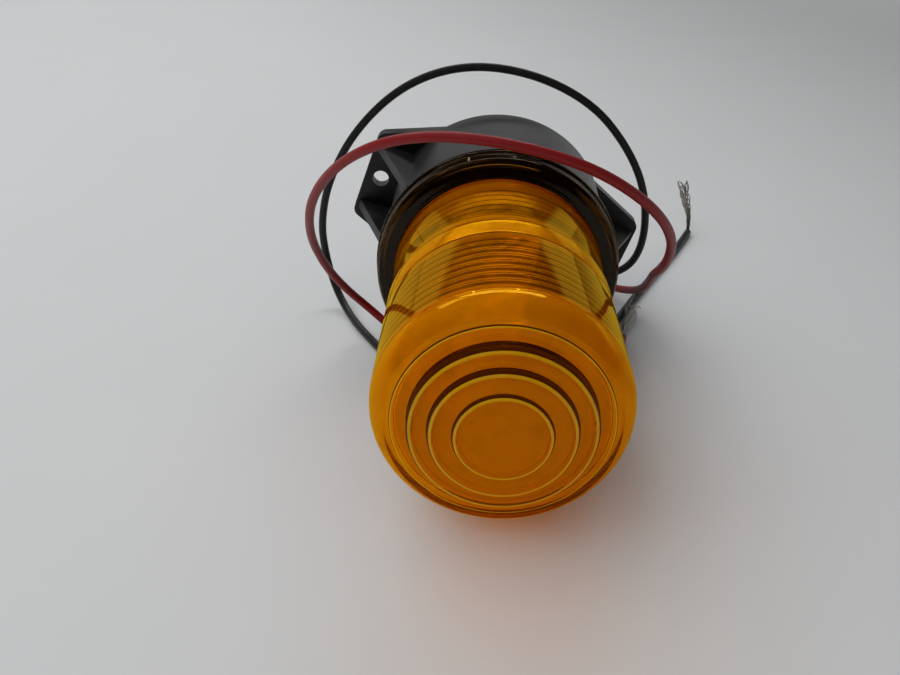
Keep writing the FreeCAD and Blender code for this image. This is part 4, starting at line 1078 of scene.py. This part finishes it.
    def _inside(self) -> Outline:
        """The inner outline, from the middle of the crown back to the skirt's edge."""
        bore_top = self.body_top_h - self.wall * self.start_thin
        neck_top = self.neck_r - self.neck_draft - self.wall
        skirt_bore = self.skirt_r - self.skirt_wall
        points = self._crown(self.wall)[::-1] + self._turn(self.wall)[::-1]
        points.append((self.body_top_r - self.wall, bore_top))
        points += self._prisms(self.body_r - self.wall, bore_top - self.prism_end, self.prism_pitch,
                               self.prism_depth, self.prism_count)
        points += [(self.band_r - self.wall, self.band_h + self.bore_step), (neck_top, self.band_h)]
        points += self._prisms(neck_top, self.band_h - self.prism_end, self.neck_pitch, self.neck_depth,
                               self.neck_count)
        points += [(self.neck_r - self.wall, self.shoulder_top), (self.neck_r - self.wall, self.gasket_top),
                   (skirt_bore, self.gasket_top), (skirt_bore, self.skirt_bottom)]
        return points


# ---- Base ----

@dataclass
class Base:
    """The black base: its smooth housing and the thread on its collar, which climbs 4 mm a turn."""

    collar_r: float = 31.4
    collar_bottom: float = 36.6
    thread_rise: float = 3.6
    thread_turns: float = 0.9
    thread_wire: float = 0.3
    thread_proud: float = 0.02
    thread_steps: int = 120
    sharp_degrees: float = 25.0
    same_place_m: float = 1e-6

    def build(self) -> None:
        """Makes the smooth housing and its thread."""
        self._housing()
        thread = helix_piece("collar_thread", BLACK_MOULDING, along_axis(self.collar_bottom), {
            "Radius": (self.collar_r + self.thread_proud) * MM, "Height": self.thread_rise * MM,
            "Turns": self.thread_turns, "Wire radius": self.thread_wire * MM, "Steps": self.thread_steps})
        place_piece(thread, Body.BASE, BLACK_MOULDING, "black_plastic")

    def _housing(self) -> None:
        """The housing's own mesh, merged and shaded so that its round walls look round."""
        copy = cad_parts["base_housing"].data.copy()
        mesh = bmesh.new()
        mesh.from_mesh(copy)
        bmesh.ops.remove_doubles(mesh, verts=mesh.verts, dist=self.same_place_m)
        mesh.to_mesh(copy)
        mesh.free()
        for name in [a.name for a in copy.attributes if a.name == "custom_normal"]:
            copy.attributes.remove(copy.attributes[name])
        smooth(copy, self.sharp_degrees)
        shell = new_object("housing_shell", copy)
        place_piece(shell, Body.BASE, BLACK_MOULDING, "black_plastic", "base_housing")


# ---- What is inside ----

@dataclass
class Mechanism:
    """The finishes of the pieces whose solids are already right."""

    finishes: tuple[tuple[Finish, tuple[str, ...]], ...] = (
        (BLACK_RUBBER, ("lead_grommet", "lens_gasket")),
        (PLATED_STEEL, ("chassis_plate", "reflector_carrier", "reflector_rivet")),
        (SCREW_STEEL, ("chassis_screws", "motor_screws", "carrier_screws")),
        (DRAWN_STEEL, ("motor_can", "motor_shaft")),
        (MOTOR_MOULDING, ("motor_end_cap",)),
        (TINNED_BRASS, ("motor_terminals", "earth_tag")),
        (CERAMIC, ("suppressor_capacitor",)),
        (NYLON, ("thrust_washer",)),
        (SPRING_STEEL, ("retaining_clip", "contact_spring")),
        (BRASS, ("lamp_holder", "pinion", "contact_plunger", "bulb_cap")),
        (FIBRE, ("contact_insulator",)),
        (BLACK_GLASS, ("bulb_insulator",)),
        (SOLDER, ("bulb_contact",)),
        (LAMP_GLASS, ("bulb_glass",)),
        (TUNGSTEN, ("bulb_filament",)),
        (ACETAL, ("drive_gear",)),
        (BRONZE, ("rotor_bush",)),
        (MIRROR, ("reflector",)),
        (RED_PVC, ("motor_feed_wire", "lamp_feed_wire")),
        (BLACK_PVC, ("motor_return_wire", "earth_wire")),
    )
    squeezed: tuple[tuple[str, float, float], ...] = (
        ("contact_spring", -0.0415, 0.66),
        ("lamp_feed_wire", -0.0120, 0.953),
    )

    def build(self) -> None:
        """Dresses each node, and gives the contact's spring and wire meshes of their own."""
        for finish, nodes in self.finishes:
            for node in nodes:
                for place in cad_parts[node].material_slots:
                    place.material = finish.material()
                log.info("%s is dressed in %s", node, finish.name)
        for node, foot, kept in self.squeezed:
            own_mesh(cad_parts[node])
            log.info("%s shortens with the contact", node)


# ---- Studio ----

@dataclass(frozen=True)
class Lamp:
    """An area lamp: its place and size in metres, its power in watts, and whether glossy surfaces show it."""

    name: str
    place: Point
    width: float
    height: float
    power: float
    shines: bool = True
    aim: Point = (0.0, -0.06, 0.0)

    def build(self) -> None:
        """Hangs the lamp, facing the beacon and unseen by the camera."""
        data = bpy.data.lights.new(self.name, "AREA")
        data.shape = "RECTANGLE"
        data.size = self.width
        data.size_y = self.height
        data.energy = self.power
        lamp = new_object(self.name, data)
        lamp.location = self.place
        way = Vector(self.aim) - Vector(self.place)
        lamp.rotation_euler = way.to_track_quat("-Z", "Y").to_euler()
        lamp.visible_camera = False
        lamp.visible_glossy = self.shines


@dataclass
class Studio:
    """A pale floor with a painted light falloff, soft light from behind and above, and the camera."""

    camera_place: Point = (-0.00466, -0.29540, 0.12877)
    camera_turn: Point = (59.394, 1.091, 1.429)
    lens_mm: float = 40.07
    clip_start_m: float = 0.01
    floor_half_m: float = 1.5
    floor_rough: float = 0.6
    floor_clouds_mm: float = 60.0
    floor_uneven: float = 0.1
    depth_share: float = 0.5
    floor_colour: Colour = (0.70, 0.71, 0.715)
    # Painted light falloff: the colour that the floor darkens to towards the far right.
    floor_painted_falloff: Colour = (0.44, 0.447, 0.45)
    dim_from_m: float = 0.0
    dim_to_m: float = 0.50
    far_colour: Colour = (0.56, 0.568, 0.577)
    haze_from_m: float = 0.40
    haze_to_m: float = 1.30
    world_colour: Colour = (0.20, 0.203, 0.206)
    wall_top: float = 0.20
    wall_glow: float = 3.0
    sky_seen: float = 2.8
    dark_room: float = 0.10
    wall_edge: float = 0.03
    behind_span: Span = (0.1, 0.5)
    lamps: tuple[Lamp, ...] = (
        Lamp("panel", (-0.15, 0.98, 0.96), 1.60, 0.26, 6.5),
        Lamp("soft_key", (-0.60, 0.0, 0.85), 1.2, 1.2, 5.4, shines=False),
        Lamp("front_fill", (-0.40, -0.90, 0.90), 0.8, 0.8, 2.2, shines=False),
        Lamp("left_spot", (-0.30, 1.05, 0.74), 0.02, 0.03, 0.06),
        Lamp("right_spot", (0.20, 1.05, 0.74), 0.02, 0.03, 0.06),
    )

    def build(self) -> None:
        """Makes the camera, the floor, the lamps and the surroundings."""
        self._camera()
        self._floor()
        self._surroundings()
        for lamp in self.lamps:
            lamp.build()

    def _camera(self) -> None:
        """The camera, level with what a person standing over the bench sees."""
        data = bpy.data.cameras.new("camera")
        data.lens = self.lens_mm
        data.clip_start = self.clip_start_m
        camera = new_object("camera", data)
        camera.location = self.camera_place
        camera.rotation_euler = [math.radians(a) for a in self.camera_turn]
        bpy.context.scene.camera = camera

    def _floor(self) -> None:
        """The bench that the beacon lies on, whose colour darkens towards the far right as a painted light
        falloff.
        """
        half = self.floor_half_m
        mesh = bpy.data.meshes.new("bench")
        corners = ((-half, -half), (half, -half), (half, half), (-half, half))
        mesh.from_pydata([(x, y, FLOOR) for x, y in corners], [], [(0, 1, 2, 3)])
        floor = new_object("bench", mesh)
        material = bpy.data.materials.new("bench")
        material.use_nodes = True
        graph = SurfaceGraph(material.node_tree)
        across, away, _ = graph.split(graph.place())
        # Painted light falloff towards the far right.
        corner = (across + away * self.depth_share).ease(self.dim_from_m, self.dim_to_m)
        clouds = graph.noise(graph.place(), self.floor_clouds_mm) * self.floor_uneven
        colour = graph.blend(corner + clouds, self.floor_colour, self.floor_painted_falloff)
        near = graph.principled({"Base Color": colour, "Roughness": self.floor_rough})
        distance = (across ** 2.0 + away ** 2.0) ** 0.5
        plainly = Number(graph, graph.node("ShaderNodeLightPath").outputs["Is Camera Ray"])
        haze = distance.ease(self.haze_from_m, self.haze_to_m) * plainly
        glow = graph.node("ShaderNodeEmission", inputs={"Color": (*self.far_colour, 1.0), "Strength": 1.0})
        both = graph.mix(haze, near, glow.outputs[0])
        graph.node("ShaderNodeOutputMaterial", inputs={"Surface": both})
        mesh.materials.append(material)

    def _surroundings(self) -> None:
        """Even pale light from all round, in which glossy surfaces see a pale wall under a dark room."""
        world = bpy.data.worlds.new("surroundings")
        world.use_nodes = True
        graph = SurfaceGraph(world.node_tree)
        path = graph.node("ShaderNodeLightPath").outputs
        glossy = Number(graph, path["Is Glossy Ray"])
        seen_plainly = Number(graph, path["Is Camera Ray"])
        _, away, up = graph.split(graph.node("ShaderNodeTexCoord").outputs["Generated"])
        wall = 1.0 - up.ease(self.wall_top - self.wall_edge, self.wall_top + self.wall_edge)
        behind = away.ease(*self.behind_span)
        seen = wall * behind * (self.wall_glow - self.dark_room) + self.dark_room
        strength = glossy * (seen - 1.0) + seen_plainly * (self.sky_seen - 1.0) + 1.0
        glow = graph.node("ShaderNodeBackground",
                          inputs={"Color": (*self.world_colour, 1.0), "Strength": strength})
        graph.node("ShaderNodeOutputWorld", inputs={"Surface": glow.outputs[0]})
        bpy.context.scene.world = world


def main() -> None:
    """Builds the studio and the beacon's pieces."""
    logging.basicConfig(level=logging.INFO, format="%(message)s")
    bpy.context.scene.view_settings.view_transform = "Standard"
    Studio().build()
    Lead("black_lead", BLACK_ROUTE, BLACK_PVC, "black_pvc", strand_tip=(0.0713, 0.0630, FLOOR + 0.0190),
         strand_knee=(0.0752, 0.0610, FLOOR + 0.0060), seed=3, length_m=0.518).build()
    Lead("red_lead", RED_ROUTE, RED_PVC, "red_pvc", strand_tip=(0.0455, -0.0045, FLOOR + 0.0030),
         strand_knee=(0.0418, -0.0150, FLOOR + 0.0022), seed=8, length_m=0.518).build()
    Lens().build()
    Base().build()
    Mechanism().build()


if __name__ == "__main__":
    main()
